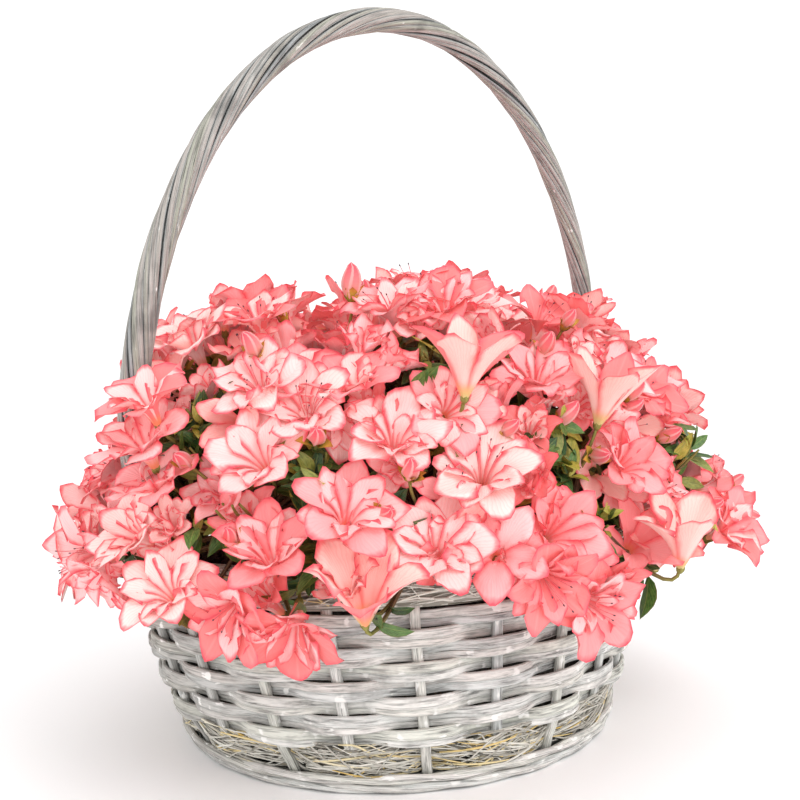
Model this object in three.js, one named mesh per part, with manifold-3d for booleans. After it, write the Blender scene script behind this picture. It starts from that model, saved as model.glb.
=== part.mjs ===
// A flowering azalea shrub growing in an oval willow basket with a tall hoop handle.
// Millimetres, +Z up. The origin is the middle of the basket's flat underside, +X runs
// along the basket's long axis, in the plane of the handle.
import * as THREE from 'three';
import Module from 'manifold-3d';

const wasm = await Module();
wasm.setup();

// Driving dimensions

const CLEARANCE = 0.35; // running gap between pieces that rest on each other

const BASKET = {
  footX: 158, // outer semi-axes at the underside
  footY: 148.5,
  flareX: 52.5, // how much each grows up to the rim
  flareY: 17.2,
  belly: 0.709, // exponent of the flare, below 1 for a full belly
  height: 150,
};

const STAKES = { count: 22, turn: 9.6, width: 6.6, thickness: 4.8, foot: 1.2, belly: 70, top: 121.2 };
const FLOOR = { thickness: 6.5, inset: 7.8 };
const FOOT_RODS = { count: 2, radius: 3.6, pitch: 6.6, lift: 0.2 };
const GRASS_BAND = {
  bottom: 14.4,
  top: 33.6,
  gap: 0.5, // behind the stakes
  thickness: 6,
  bulge: 4.6, // between two stakes, at half height
  edgeSet: 1.5, // how far its upper and lower edges stand back
  edgeBulge: 0.4, // and what share of the bulge they take
};
const WEAVE = { bottom: 34, rows: 8, pitch: 10.9, height: 9.6, thickness: 3, wave: 4.5, crest: 0.034 };
const RIM_BAND = { bottom: 121.6, thickness: 14, bulge: 1.8 };

const HANDLE = {
  halfWidth: 212.5, // centreline at the springing of the arch
  springing: 225,
  apex: 504,
  lean: 10, // the apex leans this far towards +X
  footWidth: 188.4, // centreline at the foot
  foot: 124.4,
  hip: 25, // softness of the bend where the leg leaves the basket's slope
  leftRadius: 9.8, // the bundle tapers from its left foot to its right foot
  rightRadius: 8.2,
  rods: 5,
  groove: 0.82,
  turns: -3.7,
  steps: 40,
  legPoints: 4,
  archPoints: 24,
};

const ROOT_BALL = {
  inset: 12.6,
  footInset: 20, // behind the grass band
  footRound: 4, // further in still at the very bottom
  step: 3, // height over which it widens above the band
  waist: 78,
  top: 121.2,
  crown: 127,
  shoulder: 0.8, // share of the width at which the top starts to crown
  summit: 0.16,
};
const STEM = {
  foot: 17,
  flare: 0.76, // share of the foot's radius that is left above the root flare
  flareHeight: 4,
  waist: 10.5,
  waistHeight: 11,
  knob: 15,
  knobFrom: -50, // degrees from the knob's widest place at which its curve starts
  knobStep: 14,
  segments: 16,
  fork: 158,
};

const BLOOM = {
  count: 130,
  perSpray: 2, // more for each spray
  length: 30, // from the neck to the lobes' tips
  radius: 28.5,
  throat: 9,
  lobes: 5,
  notch: 0.68, // radius of the notches between lobes, as a share of the tips'
  notchLength: 0.84,
  sizes: [1, 0.8, 0.62], // tried in turn, until one touches nothing
  tilt: 0.7, // how far the seeded stream tips, turns, lifts and sizes each
  nudge: 0.06,
  lift: 16,
  spread: 0.22,
};
const BOUGH = { foot: 3.1, tip: 2.3, arch: 2, steps: 3, sides: 4 };
const TWIG = {
  foot: 1.7,
  neck: 2.2,
  sides: 3,
  gentle: 0.2, // least cosine of the bend at a bloom
  backs: [0, 0.2, 0.4], // how much further back along the stem a root may move for that
};
// A mass's stem, with the shares of its length at which the lowest and highest twigs spring.
const MASS_STEM = { foot: 2.6, tip: 2.2, low: 0.92, high: 0.47 };
const LEAF = {
  length: 40,
  width: 15,
  thickness: 1.6,
  share: 0.22, // of the twigs that carry one
  place: 0.62, // share of the way up its twig
  forward: 0.62, // its direction, along the twig and away from it
  sideways: 0.78,
  sunk: 3, // how deep its root goes through the twig
  least: 0.85, // sizes, from the least to the least and the spread
  spread: 0.3,
};
const ROOM = { overRim: 2, wall: 1, handle: 2 }; // that the blooms leave to the basket
const SIMPLER = 0.4; // how far a mass's faces may move when they are made fewer

// The crown's surface, on which the blooms' mouths lie: a flat-topped dome with sides that
// slope out to a waist over the rim, and a lip that turns down past it.
const CROWN = {
  reachX: 245,
  reachY: 210,
  waist: 146, // height of the widest place
  rise: 173, // from there to the top
  taper: 0.26,
  square: 4.3, // exponent of the dome, 2 for an ellipse
  lip: 132, // height of the lower edge
  tuck: 0.03, // how far the lip draws in
  waistPlace: 90, // places on the profile, in degrees from the top
  edge: 118,
  normalStep: 1.5, // degrees between the places that a direction is measured from
  profileSteps: 472,
  heartLift: 16, // least height of a mass's heart over the rim
};
// Sprays that hang down over the basket's side, and ones that reach further out, with the
// places on the profile between which their own blooms stand.
const SPRAYS = [
  { bearing: 214, width: 11, reach: 0, hang: 32, from: 104, to: 118 },
  { bearing: 266, width: 11, reach: 0, hang: 26, from: 104, to: 118 },
  { bearing: 315, width: 14, reach: 0.14, hang: 0, from: 86, to: 94 },
  { bearing: 168, width: 14, reach: 0.04, hang: 0, from: 94, to: 106 },
];

// The masses stand in tiers on that surface, each with its heart some way under it. Entry
// is the share of the way from the fork to the heart at which the bough ends, or 0 for a
// mass that stands on the stem's knob itself.
const TIERS = [
  {
    name: 'skirt',
    place: 88,
    bearings: [20, 55, 90, 126, 162, 207, 241, 273, 306, 342],
    entry: 0.6,
    depth: 27,
  },
  {
    name: 'shoulder',
    place: 44,
    bearings: [22, 66, 112, 157, 203, 248, 292, 337],
    entry: 0.55,
    depth: 62,
  },
  { name: 'top', place: 5, bearings: [75, 195, 315], entry: 0, depth: 66 },
];
const GOLDEN_TURN = 137.508;
const SEEDS = { blooms: 20260, leaves: 4711 };

const COLOURS = {
  willow: 0xb4aea4,
  foot: 0xa09a8e,
  grass: 0x8a7a58,
  handle: 0xa8a29a,
  soil: 0x3a2a1e,
  bark: 0x6b5038,
  blossom: 0xf2868a,
};

const DEGREE = Math.PI / 180;
const FORK = new THREE.Vector3(0, 0, STEM.fork);

// Small helpers

function point(x, y, z) {
  return new THREE.Vector3(x, y, z);
}

function along(start, direction, distance) {
  return start.clone().addScaledVector(direction, distance);
}

// A repeatable stream of numbers between 0 and 1.
function seededStream(seed) {
  let state = seed >>> 0;
  return () => {
    state = (Math.imul(state, 1664525) + 1013904223) >>> 0;
    return state / 4294967296;
  };
}

// Two directions square to a given one, so that side, up and axis are right-handed.
function squareTo(axis) {
  const helper = Math.abs(axis.z) < 0.9 ? point(0, 0, 1) : point(1, 0, 0);
  const side = helper.clone().cross(axis).normalize();
  const up = axis.clone().cross(side);
  return { side, up };
}

// A ring of points round a centre, counterclockwise about the axis of the frame.
function ringAt(centre, { side, up }, radii, turn = 0) {
  return radii.map((radius, i) => {
    const angle = turn + (i / radii.length) * 2 * Math.PI;
    const spoke = side.clone().multiplyScalar(Math.cos(angle)).addScaledVector(up, Math.sin(angle));
    return along(centre, spoke, radius);
  });
}

// A skin over rings with the same number of points. It is capped at both ends, or runs
// round to its start where the rings themselves stand in a circle.
function skin(rings, closed = false) {
  const size = rings[0].length;
  const vertices = rings.flat();
  const faces = [];
  const spans = closed ? rings.length : rings.length - 1;
  for (let s = 0; s < spans; s++) {
    const near = s * size;
    const far = ((s + 1) % rings.length) * size;
    for (let i = 0; i < size; i++) {
      const j = (i + 1) % size;
      faces.push([near + i, near + j, far + j], [near + i, far + j, far + i]);
    }
  }
  if (!closed) {
    const last = (rings.length - 1) * size;
    for (let i = 1; i < size - 1; i++) {
      faces.push([0, i + 1, i], [last, last + i, last + i + 1]);
    }
  }
  return solid(vertices, faces);
}

// A closed solid from its corners and its triangles.
function solid(vertices, faces) {
  const vertProperties = new Float32Array(vertices.flatMap((v) => v.toArray()));
  const triVerts = new Uint32Array(faces.flat());
  return new wasm.Manifold(new wasm.Mesh({ numProp: 3, vertProperties, triVerts }));
}

// A tapering limb along a curve, from one radius to another.
function limb(curve, radii, steps, sides, turn = 0) {
  const rings = [];
  for (let s = 0; s <= steps; s++) {
    const u = s / steps;
    const radius = THREE.MathUtils.lerp(radii[0], radii[1], u);
    const frame = squareTo(curve.getTangent(u));
    rings.push(ringAt(curve.getPoint(u), frame, Array(sides).fill(radius), turn));
  }
  return skin(rings);
}

// The named mesh of a solid.
function meshOf(name, body, color, roughness) {
  const { vertProperties, triVerts } = body.getMesh();
  const geometry = new THREE.BufferGeometry();
  geometry.setAttribute('position', new THREE.BufferAttribute(vertProperties, 3));
  geometry.setIndex(new THREE.BufferAttribute(triVerts, 1));
  geometry.computeVertexNormals();
  const material = new THREE.MeshStandardMaterial({ color, roughness, metalness: 0 });
  const mesh = new THREE.Mesh(geometry, material);
  mesh.name = name;
  return mesh;
}

// The basket

// A point of the wall: a turn about the vertical, a height, and a distance in from the
// basket's outer surface.
function wallPoint(turn, z, inset) {
  const growth = Math.max(z / BASKET.height, 0) ** BASKET.belly;
  const x = BASKET.footX + BASKET.flareX * growth - inset;
  const y = BASKET.footY + BASKET.flareY * growth - inset;
  return point(x * Math.cos(turn), y * Math.sin(turn), z);
}

function stakeTurn(k) {
  return (STAKES.turn + (k * 360) / STAKES.count) * DEGREE;
}

const WALL_CENTRE = WEAVE.wave + WEAVE.thickness / 2;

// The stakes stand further in at the foot, behind the rods there.
function stakeInset(z) {
  const behindRods = 2 * FOOT_RODS.radius + CLEARANCE + STAKES.thickness / 2;
  const rise = THREE.MathUtils.smoothstep(z, GRASS_BAND.bottom, WEAVE.bottom);
  return THREE.MathUtils.lerp(behindRods, WALL_CENTRE, rise);
}

function stake(k) {
  const turn = stakeTurn(k);
  const heights = [STAKES.foot, GRASS_BAND.bottom, WEAVE.bottom, STAKES.belly, STAKES.top];
  const tangent = point(-Math.sin(turn), Math.cos(turn), 0);
  const outward = point(Math.cos(turn), Math.sin(turn), 0);
  const rings = heights.map((z) => {
    const centre = wallPoint(turn, z, stakeInset(z));
    return [[1, 1], [-1, 1], [-1, -1], [1, -1]].map(([across, out]) => {
      const corner = along(centre, tangent, (-across * STAKES.width) / 2);
      return corner.addScaledVector(outward, (out * STAKES.thickness) / 2);
    });
  });
  return skin(rings);
}

function basketFrame() {
  const corners = 2 * STAKES.count;
  const rim = (z) => Array.from({ length: corners }, (_, i) => {
    return wallPoint((i / corners) * 2 * Math.PI, 0, FLOOR.inset).setZ(z);
  });
  let frame = skin([rim(0), rim(FLOOR.thickness)]);
  for (let k = 0; k < STAKES.count; k++) {
    frame = frame.add(stake(k));
  }
  return frame;
}

// A ring that runs round the wall. section(turn, sample) gives its outline at a place,
// from the top over the outside to the inside, and samples stand on both sides of each stake.
function wallRing(section) {
  const rings = [];
  for (let k = 0; k < STAKES.count; k++) {
    for (const side of [-1, 1]) {
      rings.push(section(stakeTurn(k) + side * WEAVE.crest, k));
    }
  }
  return skin(rings, true);
}

function footRod(row) {
  const z = FOOT_RODS.radius + FOOT_RODS.lift + row * FOOT_RODS.pitch;
  const outline = [60, 0, -60, -120, 180, 120];
  return wallRing((turn) => outline.map((angle) => {
    const across = FOOT_RODS.radius * (1 - Math.cos(angle * DEGREE));
    const lift = FOOT_RODS.radius * Math.sin(angle * DEGREE);
    return wallPoint(turn, z, across).setZ(z + lift);
  }));
}

// One split rod woven in front of every other stake and behind the rest.
function weaver(row) {
  const bottom = WEAVE.bottom + row * WEAVE.pitch;
  const top = bottom + WEAVE.height;
  return wallRing((turn, k) => {
    const wave = (k + row) % 2 === 0 ? -WEAVE.wave : WEAVE.wave;
    const outer = WALL_CENTRE + wave - WEAVE.thickness / 2;
    const inner = WALL_CENTRE + wave + WEAVE.thickness / 2;
    const corners = [[top, outer], [bottom, outer], [bottom, inner], [top, inner]];
    return corners.map(([z, inset]) => wallPoint(turn, z, inset));
  });
}

// Grass packed behind the stakes, swelling out between them.
function grassBand() {
  const { bottom, top, thickness, bulge, edgeSet, edgeBulge } = GRASS_BAND;
  const middle = (bottom + top) / 2;
  const face = (z) => stakeInset(z) + STAKES.thickness / 2 + GRASS_BAND.gap;
  const rings = [];
  for (let i = 0; i < 3 * STAKES.count; i++) {
    const k = Math.floor(i / 3);
    const turn = stakeTurn(k) + [-WEAVE.crest, WEAVE.crest, (180 / STAKES.count) * DEGREE][i % 3];
    const swell = i % 3 === 2 ? bulge : 0;
    const setBack = edgeSet - swell * edgeBulge;
    rings.push([
      wallPoint(turn, top, face(top) + setBack),
      wallPoint(turn, middle, face(middle) - swell),
      wallPoint(turn, bottom, face(bottom) + setBack),
      wallPoint(turn, middle, face(middle) + thickness),
    ]);
  }
  return skin(rings, true);
}

// The bound roll of grass and thin shoots on the stakes' tops, notched for the handle.
function rimBand() {
  const { bottom, thickness, bulge } = RIM_BAND;
  const top = BASKET.height;
  const profile = [[1, 0.45], [0.72, 0], [0.25, 0], [0, 0.3], [0.05, 0.95], [0.8, 1]];
  const roll = wallRing((turn, k) => profile.map(([up, across]) => {
    const z = THREE.MathUtils.lerp(bottom, top - (k % 3 === 0 ? bulge : 0), up);
    return wallPoint(turn, z, across * thickness);
  }));
  return roll.subtract(handleBundle(CLEARANCE));
}

// The handle

// The centreline's half width below the springing follows the basket's slope, then turns
// upright: a hyperbola between the two.
function legWidth(z) {
  const bend = (depth) => Math.hypot(depth, HANDLE.hip) - HANDLE.hip;
  const fall = HANDLE.halfWidth - HANDLE.footWidth;
  return HANDLE.halfWidth - (fall * bend(HANDLE.springing - z)) / bend(HANDLE.springing - HANDLE.foot);
}

function handleCurve() {
  const { foot, springing, apex, legPoints, archPoints } = HANDLE;
  const legs = Array.from({ length: legPoints }, (_, s) => {
    return THREE.MathUtils.lerp(foot, springing, s / legPoints);
  });
  const arch = Array.from({ length: archPoints + 1 }, (_, s) => {
    const angle = Math.PI * (1 - s / archPoints);
    const lean = HANDLE.lean * Math.sin(angle);
    const z = springing + (apex - springing) * Math.sin(angle);
    return point(HANDLE.halfWidth * Math.cos(angle) + lean, 0, z);
  });
  return new THREE.CatmullRomCurve3([
    ...legs.map((z) => point(-legWidth(z), 0, z)),
    ...arch,
    ...legs.reverse().map((z) => point(legWidth(z), 0, z)),
  ]);
}

// Rods twisted together: a lobed outline that turns as it goes along the hoop.
function handleBundle(swell = 0) {
  const curve = handleCurve();
  const rings = [];
  for (let s = 0; s <= HANDLE.steps; s++) {
    const u = s / HANDLE.steps;
    const tangent = curve.getTangentAt(u);
    const towardsViewer = point(0, -1, 0);
    const outward = towardsViewer.clone().cross(tangent);
    const radius = THREE.MathUtils.lerp(HANDLE.leftRadius, HANDLE.rightRadius, u);
    const lobes = Array.from({ length: 2 * HANDLE.rods }, (_, i) => {
      return radius * (i % 2 === 0 ? 1 : HANDLE.groove) + swell;
    });
    const turn = HANDLE.turns * 2 * Math.PI * u;
    rings.push(ringAt(curve.getPointAt(u), { side: outward, up: towardsViewer }, lobes, turn));
  }
  return skin(rings);
}

// Root ball and stem

function rootBall() {
  const level = (z, inset, share = 1) => Array.from({ length: STAKES.count }, (_, k) => {
    const turn = stakeTurn(k + 0.5);
    const edge = wallPoint(turn, Math.min(z, ROOT_BALL.top), inset);
    return point(edge.x * share, edge.y * share, z);
  });
  const { inset, footInset, top } = ROOT_BALL;
  const rings = [
    level(FLOOR.thickness + CLEARANCE, footInset + ROOT_BALL.footRound),
    level(WEAVE.bottom - CLEARANCE, footInset),
    level(WEAVE.bottom + ROOT_BALL.step, inset),
    level(ROOT_BALL.waist, inset),
    level(top, inset),
    level(top, inset, ROOT_BALL.shoulder),
    level(ROOT_BALL.crown, inset, ROOT_BALL.summit),
  ];
  return skin(rings);
}

// The short stem: a flat foot with root flare, a waist, and the knob where it forks.
function shortStem() {
  const foot = ROOT_BALL.crown + CLEARANCE;
  const outline = [
    [0, foot],
    [STEM.foot, foot],
    [STEM.foot * STEM.flare, foot + STEM.flareHeight],
    [STEM.waist, foot + STEM.waistHeight],
  ];
  for (let angle = STEM.knobFrom; angle < 90; angle += STEM.knobStep) {
    const height = STEM.fork + STEM.knob * Math.sin(angle * DEGREE);
    outline.push([STEM.knob * Math.cos(angle * DEGREE), height]);
  }
  outline.push([0, STEM.fork + STEM.knob]);
  const corners = outline.map(([x, z]) => new THREE.Vector2(x, z));
  const lathe = new THREE.LatheGeometry(corners, STEM.segments);
  return solidOfLathe(lathe.rotateX(Math.PI / 2));
}

// A turned solid, with the lathe's doubled points on the seam and on the axis made one.
function solidOfLathe(geometry) {
  const position = geometry.getAttribute('position');
  const vertices = [];
  const same = new Map();
  const merged = [];
  for (let i = 0; i < position.count; i++) {
    const v = new THREE.Vector3().fromBufferAttribute(position, i);
    const key = v.toArray().map((value) => Math.round(value * 1000)).join();
    if (!same.has(key)) {
      same.set(key, vertices.length);
      vertices.push(v);
    }
    merged.push(same.get(key));
  }
  const index = Array.from(geometry.getIndex().array, (i) => merged[i]);
  const faces = [];
  for (let i = 0; i < index.length; i += 3) {
    const [a, b, c] = index.slice(i, i + 3);
    if (a !== b && b !== c && c !== a) {
      faces.push([a, b, c]);
    }
  }
  return solid(vertices, faces);
}

// The crown's plan

// How much of a spray's reach or hang is felt at a turn.
function sprayed(turn, key) {
  return SPRAYS.reduce((sum, spray) => {
    const past = turn - spray.bearing * DEGREE;
    const away = Math.atan2(Math.sin(past), Math.cos(past));
    return sum + spray[key] * Math.exp(-((away / (spray.width * DEGREE)) ** 2));
  }, 0);
}

// A point of the crown's surface, by its place on the profile and its turn.
function crownPoint(place, turn) {
  const angle = Math.min(place, CROWN.waistPlace) * DEGREE;
  const fall = Math.max(0, place - CROWN.waistPlace) / (CROWN.edge - CROWN.waistPlace);
  const up = Math.cos(angle) ** (2 / CROWN.square);
  const out = Math.sin(angle) ** (2 / CROWN.square);
  const share = (1 - CROWN.taper * up) * out * (1 - CROWN.tuck * fall * fall);
  const reach = share * (1 + sprayed(turn, 'reach') * out ** 8);
  const drop = (CROWN.waist - CROWN.lip + sprayed(turn, 'hang')) * fall;
  return point(
    CROWN.reachX * reach * Math.cos(turn),
    CROWN.reachY * reach * Math.sin(turn),
    CROWN.waist + CROWN.rise * up - drop,
  );
}

function crownNormal(place, turn) {
  const step = CROWN.normalStep;
  const down = crownPoint(place + step, turn).sub(crownPoint(place - step, turn));
  const round = crownPoint(place, turn + step * DEGREE).sub(crownPoint(place, turn - step * DEGREE));
  return down.cross(round).normalize();
}

function massPlan(tier, order) {
  const turn = tier.bearings[order] * DEGREE;
  const focus = crownPoint(tier.place, turn);
  const heart = along(focus, crownNormal(tier.place, turn), -tier.depth);
  heart.z = Math.max(heart.z, BASKET.height + CROWN.heartLift);
  const aim = heart.clone().sub(FORK).normalize();
  const entry = along(FORK, aim, Math.max(STEM.knob, heart.distanceTo(FORK) * tier.entry));
  const name = `${tier.name}_${order + 1}`;
  return { name, hasBough: tier.entry > 0, focus, heart, aim, entry, blooms: [] };
}

function crownPlan() {
  return TIERS.flatMap((tier) => tier.bearings.map((_, order) => massPlan(tier, order)));
}

// A bough: one tapering limb from the stem's knob to the place where its mass begins.
function bough(plan) {
  const start = along(FORK, plan.aim, STEM.knob + CLEARANCE);
  const middle = start.clone().lerp(plan.entry, 0.5).add(point(0, 0, BOUGH.arch));
  const curve = new THREE.QuadraticBezierCurve3(start, middle, plan.entry);
  return limb(curve, [BOUGH.foot, BOUGH.tip], BOUGH.steps, BOUGH.sides);
}

// The line of a mass's stem, from its bough's tip to the heart.
function stemCurve(plan) {
  return new THREE.LineCurve3(along(plan.entry, plan.aim, CLEARANCE), plan.heart);
}

// Places below the rim have to lie outside the wall, and none may touch the handle.
function clearOfBasket(place) {
  if (place.z > BASKET.height + ROOM.overRim) {
    return clearOfHandle(place);
  }
  const growth = Math.max(place.z / BASKET.height, 0) ** BASKET.belly;
  const x = BASKET.footX + BASKET.flareX * growth + ROOM.wall;
  const y = BASKET.footY + BASKET.flareY * growth + ROOM.wall;
  return Math.hypot(place.x / x, place.y / y) > 1;
}

function clearOfHandle(place) {
  const width = place.z < HANDLE.springing ? legWidth(Math.max(place.z, HANDLE.foot)) : HANDLE.halfWidth;
  const gap = Math.hypot(Math.abs(place.x) - width, place.y);
  return gap > HANDLE.leftRadius + ROOM.handle;
}

// The blooms stand evenly over the crown's surface, at equal shares of its area and a
// golden turn apart, and the seeded stream moves, tips and sizes each a little.
function bloomPlaces() {
  const random = seededStream(SEEDS.blooms);
  const steps = CROWN.profileSteps;
  const areas = [0];
  for (let i = 1; i <= steps; i++) {
    const here = crownPoint((i / steps) * CROWN.edge, 0);
    const before = crownPoint(((i - 1) / steps) * CROWN.edge, 0);
    areas.push(areas[i - 1] + here.distanceTo(before) * (here.x + before.x));
  }
  const places = [];
  let i = 0;
  for (let k = 0; k < BLOOM.count; k++) {
    const share = ((k + 0.5) / BLOOM.count) * areas[steps];
    while (areas[i] < share) {
      i += 1;
    }
    const place = ((i - 0.5) / steps) * CROWN.edge;
    places.push(bloomAt(place, k * GOLDEN_TURN * DEGREE, random));
  }
  for (const spray of SPRAYS) {
    for (let k = 0; k < BLOOM.perSpray; k++) {
      const share = k / (BLOOM.perSpray - 1);
      const place = THREE.MathUtils.lerp(spray.from, spray.to, share);
      places.push(bloomAt(place, (spray.bearing + (0.5 - share) * spray.width) * DEGREE, random));
    }
  }
  return places;
}

function bloomAt(place, turn, random) {
  const tip = point(random() - 0.5, random() - 0.5, random() - 0.35).multiplyScalar(BLOOM.tilt);
  const nudged = turn + (random() - 0.5) * BLOOM.nudge;
  const axis = crownNormal(Math.max(place, 2), nudged).add(tip).normalize();
  const size = 1 + (random() - 0.55) * BLOOM.spread;
  const mouth = along(crownPoint(place, nudged), axis, (random() - 0.6) * BLOOM.lift);
  const spin = random() * 2 * Math.PI;
  return { mouth, axis, size, spin, neck: along(mouth, axis, -BLOOM.length * size) };
}

function resized(bloom, share) {
  const size = bloom.size * share;
  return { ...bloom, size, neck: along(bloom.mouth, bloom.axis, -BLOOM.length * size) };
}

// The rim of a bloom: five pointed lobes with a notch between each pair.
function bloomRim(bloom) {
  const { side, up } = squareTo(bloom.axis);
  const rim = [];
  for (let edge = 0; edge < 2 * BLOOM.lobes; edge++) {
    const angle = bloom.spin + ((edge - 1) * Math.PI) / BLOOM.lobes;
    const share = edge % 2 === 0 ? [BLOOM.notch, BLOOM.notchLength] : [1, 1];
    const spoke = side.clone().multiplyScalar(Math.cos(angle)).addScaledVector(up, Math.sin(angle));
    const centre = along(bloom.neck, bloom.axis, BLOOM.length * bloom.size * share[1]);
    rim.push(along(centre, spoke, BLOOM.radius * bloom.size * share[0]));
  }
  return rim;
}

// The bloom's own frame, turned by a share of the bend between bloom and twig.
function frameOnTwig(root, bloom, share) {
  const { side, up } = squareTo(bloom.axis);
  const shoot = bloom.neck.clone().sub(root).normalize();
  const bend = new THREE.Quaternion().setFromUnitVectors(bloom.axis, shoot);
  const part = new THREE.Quaternion().slerp(bend, share);
  return { side: side.applyQuaternion(part), up: up.applyQuaternion(part) };
}

// The place on a mass's stem where a twig springs: the given one, or further back where its
// bloom would otherwise sit at a sharp bend.
function rootFor(curve, bloom, start) {
  const places = TWIG.backs.map((back) => curve.getPoint(start - back));
  const gentle = (root) => bloom.neck.clone().sub(root).normalize().dot(bloom.axis) > TWIG.gentle;
  return places.find(gentle);
}

// A flowering twig in one skin: three-sided shoot, funnel, and the star of the mouth.
function floweringTwig(root, bloom) {
  const { sides } = TWIG;
  const foot = ringAt(root, frameOnTwig(root, bloom, 1), Array(sides).fill(TWIG.foot), bloom.spin);
  const half = frameOnTwig(root, bloom, 0.5);
  const neck = ringAt(bloom.neck, half, Array(sides).fill(TWIG.neck), bloom.spin);
  const rim = bloomRim(bloom);
  const throat = along(bloom.neck, bloom.axis, BLOOM.throat * bloom.size);
  const vertices = [...foot, ...neck, ...rim, throat];
  const onRim = (edge) => 6 + ((edge + rim.length) % rim.length);
  const firstEdge = (i) => Math.round((i / 3 - 1 / 6) * rim.length + 1);
  const faces = [[0, 2, 1]];
  for (let i = 0; i < 3; i++) {
    const j = (i + 1) % 3;
    faces.push([i, j, 3 + j], [i, 3 + j, 3 + i], [3 + i, 3 + j, onRim(firstEdge(i + 1))]);
    for (let edge = firstEdge(i); edge < firstEdge(i + 1); edge++) {
      const [near, far] = [onRim(edge), onRim(edge + 1)];
      faces.push([3 + i, far, near], [near, far, vertices.length - 1]);
    }
  }
  return solid(vertices, faces);
}

// A leaf of eight faces, its root sunk through the twig that carries it.
function leaf(root, direction, normal, size) {
  const across = normal.clone().cross(direction).normalize();
  const middle = along(root, direction, LEAF.length * size * 0.5);
  const vertices = [
    along(root, direction, -LEAF.sunk),
    along(root, direction, LEAF.length * size),
    along(middle, across, (LEAF.width * size) / 2),
    along(middle, across, (-LEAF.width * size) / 2),
    along(middle, normal, LEAF.thickness / 2),
    along(middle, normal, -LEAF.thickness / 2),
  ];
  const faces = [
    [0, 4, 2], [2, 4, 1], [1, 4, 3], [3, 4, 0],
    [2, 5, 0], [1, 5, 2], [3, 5, 1], [0, 5, 3],
  ];
  return solid(vertices, faces);
}

// One mass: stem, flowering twigs and leaves, fused. A bloom that would touch a limb, the
// handle, the basket or a mass that is already there is made smaller or left out, and a
// leaf is left out. The low blooms spring from the heart, the high ones from further back.
function foliageMass(plan, obstacles, random) {
  const curve = stemCurve(plan);
  const touches = (body) => obstacles.some((other) => !body.intersect(other).isEmpty());
  let mass = limb(curve, [MASS_STEM.foot, MASS_STEM.tip], 1, TWIG.sides);
  plan.blooms.sort((a, b) => a.mouth.z - b.mouth.z).forEach((bloom, k) => {
    const rank = (k / plan.blooms.length) ** 2;
    const root = rootFor(curve, bloom, THREE.MathUtils.lerp(MASS_STEM.low, MASS_STEM.high, rank));
    const twig = root && BLOOM.sizes.map((share) => floweringTwig(root, resized(bloom, share)))
      .find((body) => !touches(body));
    if (!twig) {
      return;
    }
    mass = mass.add(twig);
    const growth = sideLeaf(root, bloom, random);
    if (random() < LEAF.share && !touches(growth)) {
      mass = mass.add(growth);
    }
  });
  return largestPiece(mass.simplify(SIMPLER));
}

// A leaf that springs sideways from a flowering twig, some way below its bloom.
function sideLeaf(root, bloom, random) {
  const shoot = bloom.neck.clone().sub(root).normalize();
  const { side, up } = squareTo(shoot);
  const turn = random() * 2 * Math.PI;
  const lean = side.multiplyScalar(Math.cos(turn)).addScaledVector(up, Math.sin(turn));
  const direction = shoot.clone().multiplyScalar(LEAF.forward)
    .addScaledVector(lean, LEAF.sideways).normalize();
  const normal = shoot.clone().cross(direction).cross(direction).negate().normalize();
  const size = LEAF.least + LEAF.spread * random();
  return leaf(root.clone().lerp(bloom.neck, LEAF.place), direction, normal, size);
}

// The main body of a fused mass, without scraps and with any sealed hollow filled.
function largestPiece(body) {
  const pieces = body.decompose().sort((a, b) => b.volume() - a.volume());
  return pieces[0];
}

// Assembly

const azalea = new THREE.Group();
const limbs = new THREE.Group();
const crown = new THREE.Group();
const basket = new THREE.Group();

basket.add(meshOf('basket_frame', basketFrame(), COLOURS.foot, 0.85));
for (let row = 0; row < FOOT_RODS.count; row++) {
  basket.add(meshOf(`foot_rod_${row + 1}`, footRod(row), COLOURS.foot, 0.85));
}
basket.add(meshOf('lower_grass_band', grassBand(), COLOURS.grass, 0.95));
for (let row = 0; row < WEAVE.rows; row++) {
  basket.add(meshOf(`weaver_row_${row + 1}`, weaver(row), COLOURS.willow, 0.85));
}
basket.add(meshOf('rim_band', rimBand(), COLOURS.grass, 0.95));
basket.add(meshOf('hoop_handle', handleBundle(), COLOURS.handle, 0.8));

limbs.add(meshOf('root_ball', rootBall(), COLOURS.soil, 1));
limbs.add(meshOf('short_stem', shortStem(), COLOURS.bark, 0.9));

const plans = crownPlan();
const hasRoom = (bloom) => [...bloomRim(bloom), bloom.neck].every(clearOfBasket);
for (const bloom of bloomPlaces().filter(hasRoom)) {
  const nearest = plans.reduce((best, plan) => {
    return plan.focus.distanceTo(bloom.mouth) < best.focus.distanceTo(bloom.mouth) ? plan : best;
  });
  nearest.blooms.push(bloom);
}
const boughs = plans.filter((plan) => plan.hasBough).map((plan) => {
  return { name: plan.name, body: bough(plan) };
});
for (const { name, body } of boughs) {
  limbs.add(meshOf(`bough_${name}`, body, COLOURS.bark, 0.9));
}

const placed = [rimBand(), handleBundle(CLEARANCE), ...boughs.map(({ body }) => body)];
const leafStream = seededStream(SEEDS.leaves);
for (const plan of plans) {
  const mass = foliageMass(plan, placed, leafStream);
  placed.push(mass);
  crown.add(meshOf(`foliage_${plan.name}`, mass, COLOURS.blossom, 0.6));
}

azalea.add(basket, limbs, crown);

export default azalea;
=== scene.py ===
# %% [markdown]
# # A flowering azalea in a willow basket
#
# The object is a small azalea shrub that grows in an oval basket of split willow with a
# tall hoop handle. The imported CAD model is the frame: it says where the basket, the handle,
# the boughs and the bloom places are. Everything that shows is made here, over that frame.

# %% Load the frame
import itertools

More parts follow.
